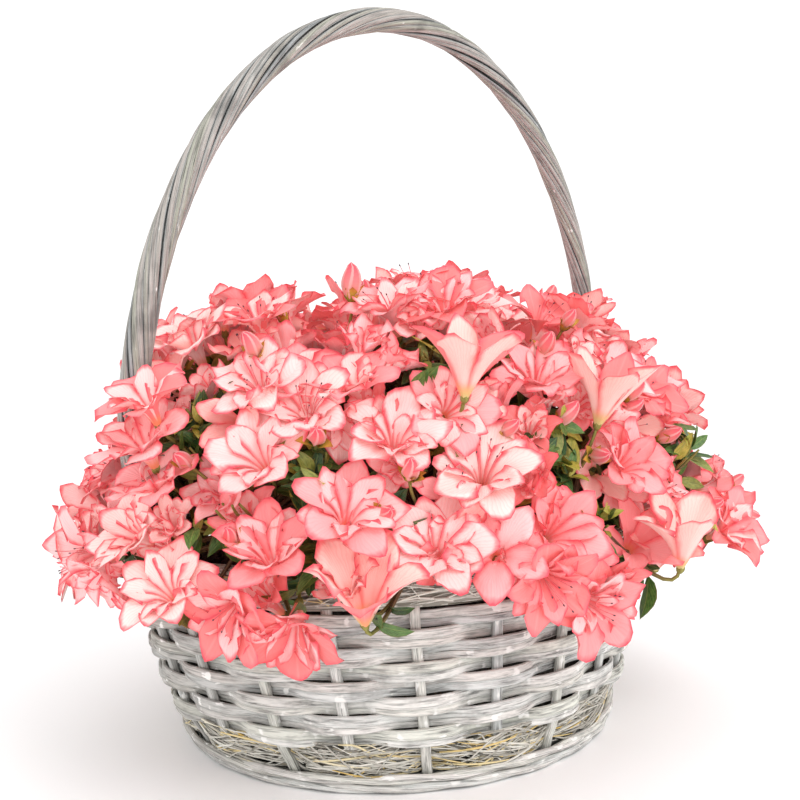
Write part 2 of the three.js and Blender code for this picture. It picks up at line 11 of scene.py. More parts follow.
import bpy
import mathutils
import numpy as np
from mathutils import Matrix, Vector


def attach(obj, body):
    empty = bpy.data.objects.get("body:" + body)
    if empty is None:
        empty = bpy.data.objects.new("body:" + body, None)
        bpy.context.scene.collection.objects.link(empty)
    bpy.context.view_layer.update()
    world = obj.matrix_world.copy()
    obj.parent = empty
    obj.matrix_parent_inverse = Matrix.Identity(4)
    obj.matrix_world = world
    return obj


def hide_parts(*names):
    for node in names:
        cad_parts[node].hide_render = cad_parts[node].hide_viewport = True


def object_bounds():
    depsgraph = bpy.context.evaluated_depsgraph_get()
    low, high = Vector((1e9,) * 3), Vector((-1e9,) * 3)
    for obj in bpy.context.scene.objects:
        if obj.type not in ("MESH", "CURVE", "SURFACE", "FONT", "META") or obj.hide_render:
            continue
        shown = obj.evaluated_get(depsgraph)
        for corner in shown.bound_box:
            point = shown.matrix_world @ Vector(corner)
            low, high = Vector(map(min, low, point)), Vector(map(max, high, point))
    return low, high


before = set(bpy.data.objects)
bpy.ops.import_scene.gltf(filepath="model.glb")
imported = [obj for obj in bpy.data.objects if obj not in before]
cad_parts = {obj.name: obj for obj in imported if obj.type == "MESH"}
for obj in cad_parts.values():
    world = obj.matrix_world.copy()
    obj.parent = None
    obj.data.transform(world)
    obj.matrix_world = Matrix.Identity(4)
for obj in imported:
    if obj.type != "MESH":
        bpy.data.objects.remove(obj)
cad_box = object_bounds()
NODES = list(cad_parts)
print("nodes in the frame:", len(NODES))

# %% [markdown]
# ## Working in millimetres
#
# A basket maker and a nursery both think in millimetres, and so do the CAD's own numbers,
# so each shape is worked out in millimetres and only becomes metres when its mesh is made.
# The dimensions below are the CAD's driving dimensions, repeated so that each piece can
# lie where its solid does. Two level directions are named after the photograph's camera.

# %% Dimensions of the basket and the crown
MM = 0.001
DEGREE = np.pi / 180
UP = np.array([0.0, 0.0, 1.0])
TO_CAMERA = np.array([-0.64, -0.77, 0.0])
TO_RIGHT = np.array([0.77, -0.64, 0.0])

WALL = {"foot": (158.0, 148.5), "flare": (52.5, 17.2), "belly": 0.709, "height": 150.0}
STAKES = {"count": 22, "turn": 9.6, "width": 6.6, "thickness": 4.8, "foot": 1.2, "top": 124.0}
WEAVE = {"bottom": 34.0, "rows": 8, "pitch": 10.9, "thickness": 3.0, "wave": 4.5}
GRASS = {"bottom": 14.4, "top": 33.6}
FOOT_RODS = {"radius": 3.6, "pitch": 6.6, "lift": 0.2}
RIM = {"bottom": 121.6, "top": 150.0, "thickness": 14.0}
HANDLE = {"half_width": 212.5, "springing": 225.0, "apex": 504.0, "lean": 10.0,
          "foot_width": 188.4, "foot": 124.4, "hip": 25.0, "radii": (9.8, 8.2), "turns": -3.7}
STEM = {"fork": 158.0, "knob": 15.0}
CROWN = {"reach": (245.0, 210.0), "waist": 146.0, "rise": 173.0, "taper": 0.26, "square": 4.3,
         "lip": 132.0, "tuck": 0.03, "edge": 118.0}
# A spray is its bearing, its width, how far it reaches and how far it hangs.
SPRAYS = [(214, 11, 0.0, 32), (266, 11, 0.0, 26), (315, 14, 0.14, 0), (168, 14, 0.04, 0)]
SPRAY_SPANS = [(104, 118), (104, 118), (86, 94), (94, 106)]
STAKE_COUNT = STAKES["count"]
STAKE_GAP = 2 * np.pi / STAKE_COUNT
WALL_CENTRE = WEAVE["wave"] + WEAVE["thickness"] / 2

# %% [markdown]
# ## Small tools
#
# A few helpers make every surface. `soft_noise` gives repeatable unevenness, because
# nothing that grew or was woven by hand is regular. `sweep` carries a cross-section along
# many paths at once. `grid_part` and `make_piece` turn grids of points into one mesh, with
# a map of where each point lies on its own strip, so that grain can follow the strip.

# %% Noise, frames and sweeps
AXIS_HASH = np.array([73856093, 19349663, 83492791])
SEED_HASH = 2654435
LOW_BITS = 0xFFFFFFFF
STREAM_TIMES, STREAM_PLUS = 1664525, 1013904223


def soft_noise(points, cell, seed=0):
    """Value noise from -0.5 to 0.5: each corner of a lattice with that cell size gets a
    hashed number, and a point takes the smoothly weighted mean of its eight corners."""
    place = np.asarray(points, dtype=float) / cell
    base = np.floor(place).astype(np.int64)
    part = place - base
    part = part * part * (3 - 2 * part)
    total = np.zeros(place.shape[:-1])
    for corner in itertools.product((0, 1), repeat=3):
        code = np.bitwise_xor.reduce((base + np.array(corner)) * AXIS_HASH, axis=-1)
        code = ((code ^ (seed * SEED_HASH)) * STREAM_TIMES + STREAM_PLUS) & LOW_BITS
        code = ((code ^ (code >> 15)) * 2246822519) & LOW_BITS
        code = code ^ (code >> 13)
        weight = np.prod(np.where(np.array(corner) == 1, part, 1 - part), axis=-1)
        total += weight * code / (LOW_BITS + 1.0)
    return total - 0.5


def unit(v):
    """Each vector divided by its length."""
    return v / np.maximum(np.linalg.norm(v, axis=-1, keepdims=True), 1e-9)


def level_out(points):
    """The level direction from the vertical middle line to each point."""
    return unit(points * np.array([1, 1, 0]))


def smooth(low, high, x):
    """0 below low, 1 above high, and an S-curve 3t^2 - 2t^3 between them; a low that is more
    than high turns it round."""
    t = np.clip((x - low) / (high - low), 0, 1)
    return t * t * (3 - 2 * t)


def sweep(path, reference, across, upward):
    """Carries outlines along paths. path is (strips, rows, 3). At each row the frame is the
    tangent, a side square to reference and tangent, and their cross product; a point is
    path + across * side + upward * that third direction."""
    tangent = unit(np.gradient(path, axis=1))
    side = unit(np.cross(np.broadcast_to(reference, path.shape), tangent))
    rise = np.cross(tangent, side)
    shape = (path.shape[0], path.shape[1], np.shape(across)[-1])
    across = np.broadcast_to(across, shape)[..., None]
    upward = np.broadcast_to(upward, shape)[..., None]
    return path[:, :, None] + across * side[:, :, None] + upward * rise[:, :, None]


def outline(sides, flatness=1.0):
    """Cosine and sine of evenly spread angles, each raised to the power flatness with its
    sign kept: 1 gives a circle, less gives a rounded rectangle."""
    angle = np.arange(sides) * 2 * np.pi / sides + np.pi / sides
    c, s = np.cos(angle), np.sin(angle)
    return np.sign(c) * np.abs(c) ** flatness, np.sign(s) * np.abs(s) ** flatness


def round_tube(path, fat, sides, reference=UP):
    """A circle of radius fat, swept along each path. Paths that may stand upright need a
    reference that leans a little."""
    cx, cy = outline(sides)
    return sweep(path, reference, cx * fat, cy * fat)


# %% Grids to meshes
def grid_part(points, wrap=False, caps=False, u=0.0, v=0.0, tone=0.5):
    """Many grids at once: points is (grids, rows, columns, 3). Four neighbours make a face;
    wrap joins the last column to the first, and caps closes a tube's first and last row. A
    plain list as u holds one number for each column, and as v one for each row."""
    count, rows, cols, _ = points.shape
    wide = cols + 1 if wrap else cols
    r, c = np.meshgrid(np.arange(rows - 1), np.arange(wide - 1), indexing="ij")
    corner_r = np.stack([r, r, r + 1, r + 1], -1).reshape(-1, 4)
    corner_c = np.stack([c, c + 1, c + 1, c], -1).reshape(-1, 4)
    first = (np.arange(count) * rows * cols)[:, None]
    if np.ndim(v) == 1:
        v = v[None, :, None]
    u = np.broadcast_to(u, (count, rows, wide))
    v = np.broadcast_to(v, (count, rows, wide))
    faces = [(first[:, None] + corner_r * cols + corner_c % cols).reshape(-1, 4)]
    maps = [np.stack([u[:, corner_r, corner_c], v[:, corner_r, corner_c]], -1).reshape(-1, 4, 2)]
    if caps:
        ring = np.arange(cols)
        for row, order in ((0, ring[::-1]), (rows - 1, ring)):
            faces.append(first + row * cols + order)
            maps.append(np.stack([u[:, row, order], v[:, row, order]], -1))
    tones = np.broadcast_to(tone, (count, rows, cols)).reshape(-1)
    return {"points": points.reshape(-1, 3), "faces": faces, "maps": maps, "tones": tones}


def make_piece(name, parts, material, nodes=(), map_name="grain"):
    """Joins batches into one object, in metres, with its map and its tone attribute."""
    verts = np.concatenate([part["points"] for part in parts]) * MM
    tones = np.concatenate([part["tones"] for part in parts])
    corners, sizes, coords, start = [], [], [], 0
    for part in parts:
        for faces, maps in zip(part["faces"], part["maps"]):
            corners.append((faces + start).ravel())
            sizes.append(np.full(len(faces), faces.shape[1]))
            coords.append(maps.reshape(-1, 2))
        start += len(part["points"])
    corners, sizes, coords = (np.concatenate(x) for x in (corners, sizes, coords))
    mesh = bpy.data.meshes.new(name)
    mesh.vertices.add(len(verts))
    mesh.vertices.foreach_set("co", verts.ravel())
    mesh.loops.add(len(corners))
    mesh.loops.foreach_set("vertex_index", corners)
    mesh.polygons.add(len(sizes))
    mesh.polygons.foreach_set("loop_start", np.concatenate([[0], np.cumsum(sizes)[:-1]]))
    mesh.update(calc_edges=True)
    mesh.uv_layers.new(name=map_name).data.foreach_set("uv", coords.ravel())
    mesh.attributes.new("tone", "FLOAT", "POINT").data.foreach_set("value", tones)
    mesh.shade_smooth()
    mesh.materials.append(material)
    piece = bpy.data.objects.new(name, mesh)
    bpy.context.scene.collection.objects.link(piece)
    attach(piece, "root")
    if nodes:
        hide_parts(*nodes)
    print(name, "has", int((sizes - 2).sum()), "triangles")
    return piece


# %% [markdown]
# ## Recipes for materials
#
# Every finish is mixed from procedural nodes. Writing them as small sums keeps them
# readable: `calc` adds one Math node, `ramp` maps a number to colours, `stain` mixes a tint
# in, and `speckle` is a noise that may be drawn out along the grain. Numbers that are the
# same all over a surface stay on the shader's own sockets.

# %% Helpers for materials
def new_material(name, roughness, **constants):
    """A material with its node tree and its shader, and the shader's constant sockets set."""
    material = bpy.data.materials.new(name)
    material.use_nodes = True
    tree = material.node_tree
    shader = tree.nodes["Principled BSDF"]
    shader.inputs["Roughness"].default_value = roughness
    for socket, value in constants.items():
        shader.inputs[socket.replace("_", " ")].default_value = value
    return material, tree, shader


def plug(tree, socket, value):
    """Links another node's output to a socket, or sets the socket's own value."""
    if isinstance(value, bpy.types.NodeSocket):
        tree.links.new(value, socket)
    else:
        socket.default_value = value


def calc(tree, operation, a, b=0.0, c=0.0):
    """One Math node."""
    node = tree.nodes.new("ShaderNodeMath")
    node.operation = operation
    for socket, value in zip(node.inputs, (a, b, c)):
        plug(tree, socket, value)
    return node.outputs[0]


def plus(tree, a, b):
    """a + b."""
    return calc(tree, "ADD", a, b)


def minus(tree, a, b):
    """a - b."""
    return calc(tree, "SUBTRACT", a, b)


def times(tree, first, *others):
    """The product of all that is given."""
    for other in others:
        first = calc(tree, "MULTIPLY", first, other)
    return first


def fade(tree, value, low, high):
    """0 below low and 1 above high, smoothly between (or the other way round if low > high)."""
    node = tree.nodes.new("ShaderNodeMapRange")
    node.interpolation_type = "SMOOTHSTEP"
    plug(tree, node.inputs["Value"], value)
    turned = low > high
    plug(tree, node.inputs["From Min"], min(low, high))
    plug(tree, node.inputs["From Max"], max(low, high))
    plug(tree, node.inputs["To Min"], 1.0 if turned else 0.0)
    plug(tree, node.inputs["To Max"], 0.0 if turned else 1.0)
    return node.outputs["Result"]


def speckle(tree, vector, scale, detail=3.0, roughness=0.55, stretch=(1, 1, 1), seed=0.0):
    """Noise over a vector that is first stretched."""
    mapping = tree.nodes.new("ShaderNodeMapping")
    mapping.inputs["Scale"].default_value = stretch
    mapping.inputs["Location"].default_value = (seed, seed * 0.7, seed * 1.3)
    tree.links.new(vector, mapping.inputs["Vector"])
    node = tree.nodes.new("ShaderNodeTexNoise")
    node.inputs["Scale"].default_value = scale
    node.inputs["Detail"].default_value = detail
    node.inputs["Roughness"].default_value = roughness
    tree.links.new(mapping.outputs["Vector"], node.inputs["Vector"])
    return node.outputs["Fac"]


def ramp(tree, value, *stops, interpolation="LINEAR"):
    """Colours at places from 0 to 1; a stop is (place, (red, green, blue))."""
    node = tree.nodes.new("ShaderNodeValToRGB")
    node.color_ramp.interpolation = interpolation
    elements = node.color_ramp.elements
    while len(elements) < len(stops):
        elements.new(0.5)
    for element, (place, colour) in zip(elements, stops):
        element.position = place
        element.color = (*colour, 1.0)
    plug(tree, node.inputs["Fac"], value)
    return node.outputs["Color"]


def blend(tree, share, a, b, kind="MIX"):
    """Colour a where share is 0 and colour b where it is 1."""
    node = tree.nodes.new("ShaderNodeMix")
    node.data_type = "RGBA"
    node.blend_type = kind
    plug(tree, node.inputs["Factor"], share)
    for socket, value in ((node.inputs[6], a), (node.inputs[7], b)):
        plug(tree, socket, value if isinstance(value, bpy.types.NodeSocket) else (*value, 1.0))
    return node.outputs[2]


def stain(tree, colour, share, strength, tint):
    """The colour, mixed with a tint by share * strength."""
    return blend(tree, times(tree, share, strength), colour, tint)


def relief(tree, shader, height, strength, distance):
    """Bump from a height, on the shader's normal."""
    node = tree.nodes.new("ShaderNodeBump")
    node.inputs["Strength"].default_value = strength
    node.inputs["Distance"].default_value = distance
    tree.links.new(height, node.inputs["Height"])
    tree.links.new(node.outputs["Normal"], shader.inputs["Normal"])


def own_map(tree, name="grain"):
    """The piece's own map as a vector."""
    node = tree.nodes.new("ShaderNodeUVMap")
    node.uv_map = name
    return node.outputs["UV"]


def own_tone(tree):
    """The number that each strip or strand was dealt: 0 to 1, and below 0 where painted shade darkens the
    handle's grooves.
    """
    node = tree.nodes.new("ShaderNodeAttribute")
    node.attribute_name = "tone"
    return node.outputs["Fac"]


def object_place(tree):
    """Object coordinates."""
    return tree.nodes.new("ShaderNodeTexCoord").outputs["Object"]


def axes_of(tree, vector):
    """The three numbers of a vector."""
    node = tree.nodes.new("ShaderNodeSeparateXYZ")
    tree.links.new(vector, node.inputs[0])
    return list(node.outputs)


# %% [markdown]
# ## Washed willow
#
# The rods were split, dried and washed with thin white paint: pale grey wood with fine
# lengthwise lines, darker streaks where the wash has worn off, greenish and pinkish casts
# from rod to rod, and white flecks at the knots. The grain is noise that is drawn out 17 to
# 55 times along each strip's own map, so it runs with the strip wherever that bends. The
# basket's left end is darkened with painted shade, and painted shade makes the grooves of the
# handle nearly black.

# %% Willow materials
def willow(name, dark, light, casts, flecks, shaded_left_end):
    """Split willow: lengthwise streaks from dark to light, a cast by strip, white flecks. The
    basket's left end is darkened with painted shade, at most by the share that the last argument
    gives, and tones below 0 get painted groove shade near to black."""
    material, tree, shader = new_material(name, 0.82, Specular_IOR_Level=0.25)
    grain = own_map(tree)
    tone = own_tone(tree)
    fine = speckle(tree, grain, 1300, 4, 0.66, stretch=(1, 0.035, 1))
    wide = speckle(tree, grain, 330, 3, 0.6, stretch=(1, 0.06, 1), seed=3.0)
    streak = plus(tree, times(tree, fine, 0.6), times(tree, wide, 0.4))
    middle = tuple(0.35 * d + 0.65 * l for d, l in zip(dark, light))
    colour = ramp(tree, streak, (0.38, dark), (0.46, middle), (0.55, light))
    cast = ramp(tree, tone, *zip((0.0, 0.35, 0.7, 1.0), casts))
    colour = blend(tree, 0.7, colour, cast, "MULTIPLY")

    worn = speckle(tree, object_place(tree), 34, 4, 0.6)
    colour = stain(tree, colour, fade(tree, worn, 0.5, 0.72), 0.5, dark)
    lines = speckle(tree, grain, 2300, 2, 0.6, stretch=(1, 0.018, 1), seed=5.0)
    colour = stain(tree, colour, fade(tree, lines, 0.52, 0.66), 0.6, dark)
    # Painted shade: the basket's left end is darkened towards a grey-brown.
    x, y, _ = axes_of(tree, object_place(tree))
    leftward = minus(tree, times(tree, y, -TO_RIGHT[1]), times(tree, x, TO_RIGHT[0]))
    colour = stain(tree, colour, fade(tree, leftward, 0.03, 0.16), shaded_left_end, (0.2, 0.185, 0.165))
    knots = speckle(tree, grain, 150, 2, 0.5, stretch=(1, 0.5, 1), seed=9.0)
    white = fade(tree, plus(tree, knots, times(tree, fine, 0.25)), *flecks)
    colour = blend(tree, white, colour, (0.9, 0.89, 0.86))
    # Painted shade: tones below 0 fade to near-black, for the handle's grooves and its core.
    groove_shade = fade(tree, tone, 0.0, -0.6)
    colour = blend(tree, groove_shade, colour, (0.035, 0.034, 0.03))
    plug(tree, shader.inputs["Base Color"], colour)
    relief(tree, shader, streak, 0.9, 0.0008)
    return material


PALE_CASTS = ((0.8, 0.83, 0.86), (1.0, 1.0, 0.99), (0.95, 0.9, 0.89), (0.88, 0.91, 0.83))
GREY_CASTS = ((0.72, 0.77, 0.82), (1.0, 1.0, 0.98), (0.96, 0.84, 0.8), (0.8, 0.82, 0.66))
washed_willow = willow("washed_willow", (0.2, 0.2, 0.19), (0.86, 0.855, 0.82), PALE_CASTS,
                       flecks=(0.74, 0.8), shaded_left_end=0.45)
handle_willow = willow("weathered_willow", (0.1, 0.1, 0.095), (0.52, 0.515, 0.495), GREY_CASTS,
                       flecks=(0.8, 0.88), shaded_left_end=0.0)


# %% Grass, compost and bark
def dry_grass():
    """Thin dry strands: grey-brown to grey-green by strand, the highest tones straw-yellow."""
    material, tree, shader = new_material("dry_grass", 0.85, Specular_IOR_Level=0.2)
    colour = ramp(tree, own_tone(tree), (0.0, (0.1, 0.095, 0.08)), (0.15, (0.32, 0.3, 0.26)),
                  (0.5, (0.6, 0.58, 0.52)), (0.85, (0.82, 0.8, 0.73)), (0.93, (0.8, 0.68, 0.4)),
                  (1.0, (0.74, 0.52, 0.17)))
    streak = speckle(tree, own_map(tree), 500, 3, 0.6, stretch=(1, 0.05, 1))
    colour = blend(tree, fade(tree, streak, 0.5, 0.75), colour, (0.13, 0.12, 0.09))
    plug(tree, shader.inputs["Base Color"], colour)
    relief(tree, shader, streak, 0.4, 0.0005)
    return material


def moist_compost():
    """Dark peat: near-black with brown fibres and a few paler crumbs."""
    material, tree, shader = new_material("moist_compost", 0.95, Specular_IOR_Level=0.15)
    place = object_place(tree)
    crumb = speckle(tree, place, 260, 5, 0.65)
    fibre = speckle(tree, place, 120, 4, 0.6, stretch=(1, 4, 1), seed=4.0)
    colour = ramp(tree, crumb, (0.35, (0.03, 0.028, 0.026)), (0.55, (0.075, 0.068, 0.06)),
                  (0.75, (0.16, 0.135, 0.11)))
    colour = blend(tree, fade(tree, fibre, 0.6, 0.72), colour, (0.13, 0.085, 0.045))
    plug(tree, shader.inputs["Base Color"], colour)
    relief(tree, shader, crumb, 0.8, 0.002)
    return material


def thin_bark():
    """Young azalea bark: brown with lengthwise cracks; high tones are green shoots."""
    material, tree, shader = new_material("thin_bark", 0.85, Specular_IOR_Level=0.25)
    crack = speckle(tree, own_map(tree), 420, 5, 0.65, stretch=(1, 0.12, 1))
    brown = ramp(tree, crack, (0.36, (0.045, 0.026, 0.014)), (0.52, (0.17, 0.105, 0.06)),
                 (0.66, (0.36, 0.26, 0.16)))
    green = ramp(tree, crack, (0.3, (0.16, 0.13, 0.03)), (0.6, (0.36, 0.34, 0.1)),
                 (0.75, (0.5, 0.3, 0.12)))
    young = fade(tree, own_tone(tree), 0.45, 0.85)
    plug(tree, shader.inputs["Base Color"], blend(tree, young, brown, green))
    relief(tree, shader, crack, 0.7, 0.0008)
    return material


grass_finish = dry_grass()
compost_finish = moist_compost()
bark_finish = thin_bark()

# %% [markdown]
# ## Petals
#
# A picotee petal is blush at its heart, flushed salmon towards the throat and edged with a
# thin coral-rose line. All petals share one map: a sheet of eight by eight tiles, and each
# petal fills one tile with its own width and length. So the line can follow every margin,
# however the petal is frilled. The rows of tiles hold the base colours that are dealt to
# the flowers: three rows pale, three coral, and two for the outside of funnels. A weak
# emission stands in for the light that comes through thin petals.

# %% Petal material
TILE_MAP = "OFBake"
TILES = 8
TILE_ROOM = 0.95
PETAL_WIDTH, PETAL_LENGTH = 27.0, 34.0
PETAL_HEARTS = ((0.93, 0.71, 0.67), (0.92, 0.64, 0.62), (0.91, 0.56, 0.56),
                (0.9, 0.4, 0.41), (0.89, 0.3, 0.31), (0.88, 0.22, 0.22),
                (0.93, 0.63, 0.57), (0.9, 0.5, 0.46))
ROW_STEP = 0.14


def tile_place(tree, tiles):
    """Where a point lies in its tile (across and along from 0 to 1), and the tile's column and
    row, also from 0 to 1."""
    places, numbers = [], []
    for axis in axes_of(tree, own_map(tree, TILE_MAP))[:2]:
        scaled = times(tree, axis, float(tiles))
        inside = calc(tree, "FRACT", scaled)
        places.append(calc(tree, "DIVIDE", minus(tree, inside, (1 - TILE_ROOM) / 2), TILE_ROOM))
        numbers.append(calc(tree, "DIVIDE", calc(tree, "FLOOR", scaled), tiles - 1.0))
    return places, numbers


def picotee_petal():
    """Blush heart, salmon flush to the throat, coral-rose margin, fine veins, throat dots. The
    margin is the distance to the nearer of side and tip, in millimetres."""
    material, tree, shader = new_material(
        "picotee_petal", 0.6, Specular_IOR_Level=0.3, Sheen_Weight=0.15,
        Emission_Color=(0.95, 0.25, 0.24, 1.0), Emission_Strength=0.13)
    (across, along), (column, row) = tile_place(tree, TILES)
    grain = own_map(tree, TILE_MAP)
    cloud = speckle(tree, grain, 34, 3)
    off_centre = calc(tree, "ABSOLUTE", minus(tree, across, 0.5))
    to_side = times(tree, minus(tree, 0.5, off_centre), PETAL_WIDTH)
    to_tip = times(tree, minus(tree, 1.0, along), PETAL_LENGTH)
    margin = calc(tree, "SMOOTH_MIN", to_side, to_tip, 2.0)
    margin = plus(tree, margin, times(tree, minus(tree, cloud, 0.5), 5.0))
    lobe = fade(tree, along, 0.3, 0.55)

    hearts = [(ROW_STEP * n, colour) for n, colour in enumerate(PETAL_HEARTS)]
    heart = ramp(tree, row, *hearts, interpolation="CONSTANT")
    salmon = ramp(tree, row, (0.0, (0.88, 0.21, 0.22)), (3 * ROW_STEP, (0.88, 0.15, 0.16)),
                  (6 * ROW_STEP, (0.87, 0.24, 0.22)), interpolation="CONSTANT")
    flush = plus(tree, times(tree, minus(tree, 1.0, along), 7.5), 2.9)
    wash = fade(tree, calc(tree, "DIVIDE", margin, flush), 1.0, 0.1)
    colour = stain(tree, heart, wash, 0.85, salmon)
    vein_angle = calc(tree, "DIVIDE", minus(tree, across, 0.5), plus(tree, 0.35, along))
    veins = calc(tree, "SINE", plus(tree, times(tree, vein_angle, 105.0), times(tree, cloud, 14.0)))
    colour = stain(tree, colour, fade(tree, veins, 0.3, 1.0), 0.15, (0.9, 0.2, 0.18))
    rib = fade(tree, off_centre, 0.045, 0.0)
    colour = stain(tree, colour, rib, 0.1, (0.92, 0.66, 0.6))

    edge = times(tree, fade(tree, margin, 3.5, 0.3), lobe)
    colour = stain(tree, colour, edge, 0.8, (0.85, 0.13, 0.16))
    line = times(tree, fade(tree, margin, 1.1, 0.1), lobe)
    colour = stain(tree, colour, line, 0.8, (0.72, 0.045, 0.085))
    throat = fade(tree, along, 0.27, 0.05)
    colour = blend(tree, throat, colour, (0.9, 0.33, 0.13))
    funnel_foot = times(tree, fade(tree, along, 0.22, 0.02), fade(tree, row, 0.78, 0.82))
    colour = blend(tree, funnel_foot, colour, (0.62, 0.55, 0.2))
    dots = fade(tree, speckle(tree, grain, 620, 1, 0.4), 0.68, 0.74)
    upper_petal = fade(tree, column, 0.3, 0.25)
    near_throat = times(tree, fade(tree, along, 0.6, 0.45), fade(tree, off_centre, 0.3, 0.15))
    dotted = times(tree, dots, upper_petal, near_throat)
    colour = stain(tree, colour, dotted, 0.8, (0.45, 0.03, 0.05))
    plug(tree, shader.inputs["Base Color"], colour)
    relief(tree, shader, plus(tree, times(tree, veins, 0.5), cloud), 0.25, 0.0004)
    return material


petal_finish = picotee_petal()


# %% Leaf, stamen and bud materials
LEAF_TILES = 4


def azalea_leaf():
    """Four by four tiles: dark green, green, olive and yellow-green leaves with pale ribs."""
    material, tree, shader = new_material("azalea_leaf", 0.42, Specular_IOR_Level=0.45)
    (across, along), (_, row) = tile_place(tree, LEAF_TILES)
    cloud = speckle(tree, own_map(tree, TILE_MAP), 26, 4)
    base = ramp(tree, row, (0.0, (0.024, 0.075, 0.022)), (0.3, (0.05, 0.125, 0.026)),
                (0.6, (0.17, 0.2, 0.035)), (0.95, (0.4, 0.38, 0.05)), interpolation="CONSTANT")
    lit = ramp(tree, row, (0.0, (0.06, 0.15, 0.045)), (0.3, (0.12, 0.25, 0.05)),
               (0.6, (0.33, 0.35, 0.07)), (0.95, (0.6, 0.52, 0.1)), interpolation="CONSTANT")
    colour = blend(tree, fade(tree, cloud, 0.35, 0.68), base, lit)
    off_centre = calc(tree, "ABSOLUTE", minus(tree, across, 0.5))
    rib = fade(tree, off_centre, 0.05, 0.015)
    side = calc(tree, "SINE", times(tree, minus(tree, along, off_centre), 46.0))
    side = times(tree, fade(tree, side, 0.75, 1.0), 0.4)
    ribs = calc(tree, "MAXIMUM", times(tree, rib, 0.6), side)
    colour = blend(tree, ribs, colour, (0.3, 0.36, 0.1))
    colour = stain(tree, colour, fade(tree, off_centre, 0.42, 0.5), 0.4, (0.35, 0.16, 0.05))
    plug(tree, shader.inputs["Base Color"], colour)
    relief(tree, shader, minus(tree, cloud, plus(tree, rib, side)), 0.3, 0.0006)
    return material


def along_colours(name, roughness, *stops, bands=None):
    """Colour by the place along the piece's own map, with a little cloud in it. Bands give
    how many paler lengthwise bands there are in one unit of the map, and their colour."""
    material, tree, shader = new_material(name, roughness, Specular_IOR_Level=0.3)
    grain = own_map(tree, TILE_MAP)
    across, along, _ = axes_of(tree, grain)
    cloud = speckle(tree, grain, 24, 3)
    place = plus(tree, along, times(tree, minus(tree, cloud, 0.5), 0.12))
    colour = ramp(tree, place, *stops)
    if bands:
        wave = calc(tree, "COSINE", times(tree, across, 2 * np.pi * bands[0]))
        colour = stain(tree, colour, fade(tree, wave, 0.0, 0.9), 0.55, bands[1])
    plug(tree, shader.inputs["Base Color"], colour)
    relief(tree, shader, cloud, 0.3, 0.0004)
    return material


BUD_SPREAD = 0.4
BUD_FURROWS = 5
leaf_finish = azalea_leaf()
stamen_finish = along_colours(
    "stamen", 0.5, (0.0, (0.9, 0.42, 0.36)), (0.6, (0.86, 0.22, 0.24)), (0.88, (0.6, 0.08, 0.12)),
    (0.9, (0.07, 0.035, 0.05)), (1.0, (0.12, 0.06, 0.07)))
bud_finish = along_colours(
    "flower_bud", 0.5, (0.0, (0.5, 0.4, 0.15)), (0.12, (0.87, 0.42, 0.34)), (0.5, (0.89, 0.26, 0.26)),
    (0.8, (0.84, 0.13, 0.16)), (1.0, (0.68, 0.05, 0.09)), bands=(BUD_FURROWS / BUD_SPREAD, (0.93, 0.6, 0.56)))
scale_finish = along_colours(
    "bud_scale", 0.55, (0.0, (0.14, 0.17, 0.03)), (0.4, (0.42, 0.36, 0.05)), (0.75, (0.62, 0.36, 0.06)),
    (1.0, (0.5, 0.14, 0.04)))

# %% [markdown]
# ## The basket's wall
#
# The basket is an oval tub whose side swells and flares. Every woven piece lies on that
# wall, so one function gives a point of it from a turn about the vertical, a height and a
# distance inwards; the stakes, rods, weavers and grass are curves drawn on it.

# %% Wall and stakes
def wall_axes(z):
    """The wall's two semi-axes at height z: foot + flare * (z / height)^belly."""
    growth = (np.maximum(z, 0) / WALL["height"]) ** WALL["belly"]
    return [WALL["foot"][i] + WALL["flare"][i] * growth for i in (0, 1)]


def wall_point(turn, z, inset):
    """A point of the oval at height z whose semi-axes are the wall's, less the inset."""
    long_axis, short_axis = wall_axes(z)
    x = (long_axis - inset) * np.cos(turn)
    y = (short_axis - inset) * np.sin(turn)
    return np.stack(np.broadcast_arrays(x, y, z), -1)


def stake_turn(k):
    """The turn of stake number k, which may be a fraction between two stakes."""
    return STAKES["turn"] * DEGREE + k * STAKE_GAP


def stake_inset(z):
    """Stakes stand behind the foot rods, and come out to the wall's middle at the weave."""
    behind = 2 * FOOT_RODS["radius"] + 0.35 + STAKES["thickness"] / 2
    return behind + (WALL_CENTRE - behind) * smooth(GRASS["bottom"], WEAVE["bottom"], z)


STAKE_ROWS, STAKE_SIDES = 22, 10
CLEAR_OF_FLOOR = 0.6
rng = np.random.default_rng(11)
stake_z = np.linspace(STAKES["foot"] + CLEAR_OF_FLOOR, STAKES["top"], STAKE_ROWS)
stray = rng.normal(0, 0.004, (STAKE_COUNT, 1))
wander = rng.normal(0, 0.0011, (STAKE_COUNT, STAKE_ROWS)).cumsum(axis=1) * 0.4
stake_turns = stake_turn(np.arange(STAKE_COUNT))[:, None] + stray + wander
stake_path = wall_point(stake_turns, stake_z[None, :], stake_inset(stake_z)[None, :])
cx, cy = outline(STAKE_SIDES, 0.55)
worn = 1 + 0.1 * soft_noise(stake_path, 22.0, 5)[..., None]
stakes = sweep(stake_path, level_out(stake_path),
               cx * STAKES["width"] / 2 * worn, cy * STAKES["thickness"] / 2 * worn)
stake_part = grid_part(
    stakes, True, True, u=np.arange(STAKE_SIDES + 1) * 0.0018 + rng.random((STAKE_COUNT, 1, 1)),
    v=stake_z * MM, tone=rng.random((STAKE_COUNT, 1, 1)))

# %% [markdown]
# ## The base
#
# Under the basket, thin rods are woven in rings over spokes. It hardly ever shows, but a
# part is looked at from all sides, so it is woven too: each ring waves over one spoke and
# under the next, and the rings shrink towards the middle.

# %% Base of rings and spokes
BASE = {"edge": 7.8, "level": 3.25, "rings": 19}


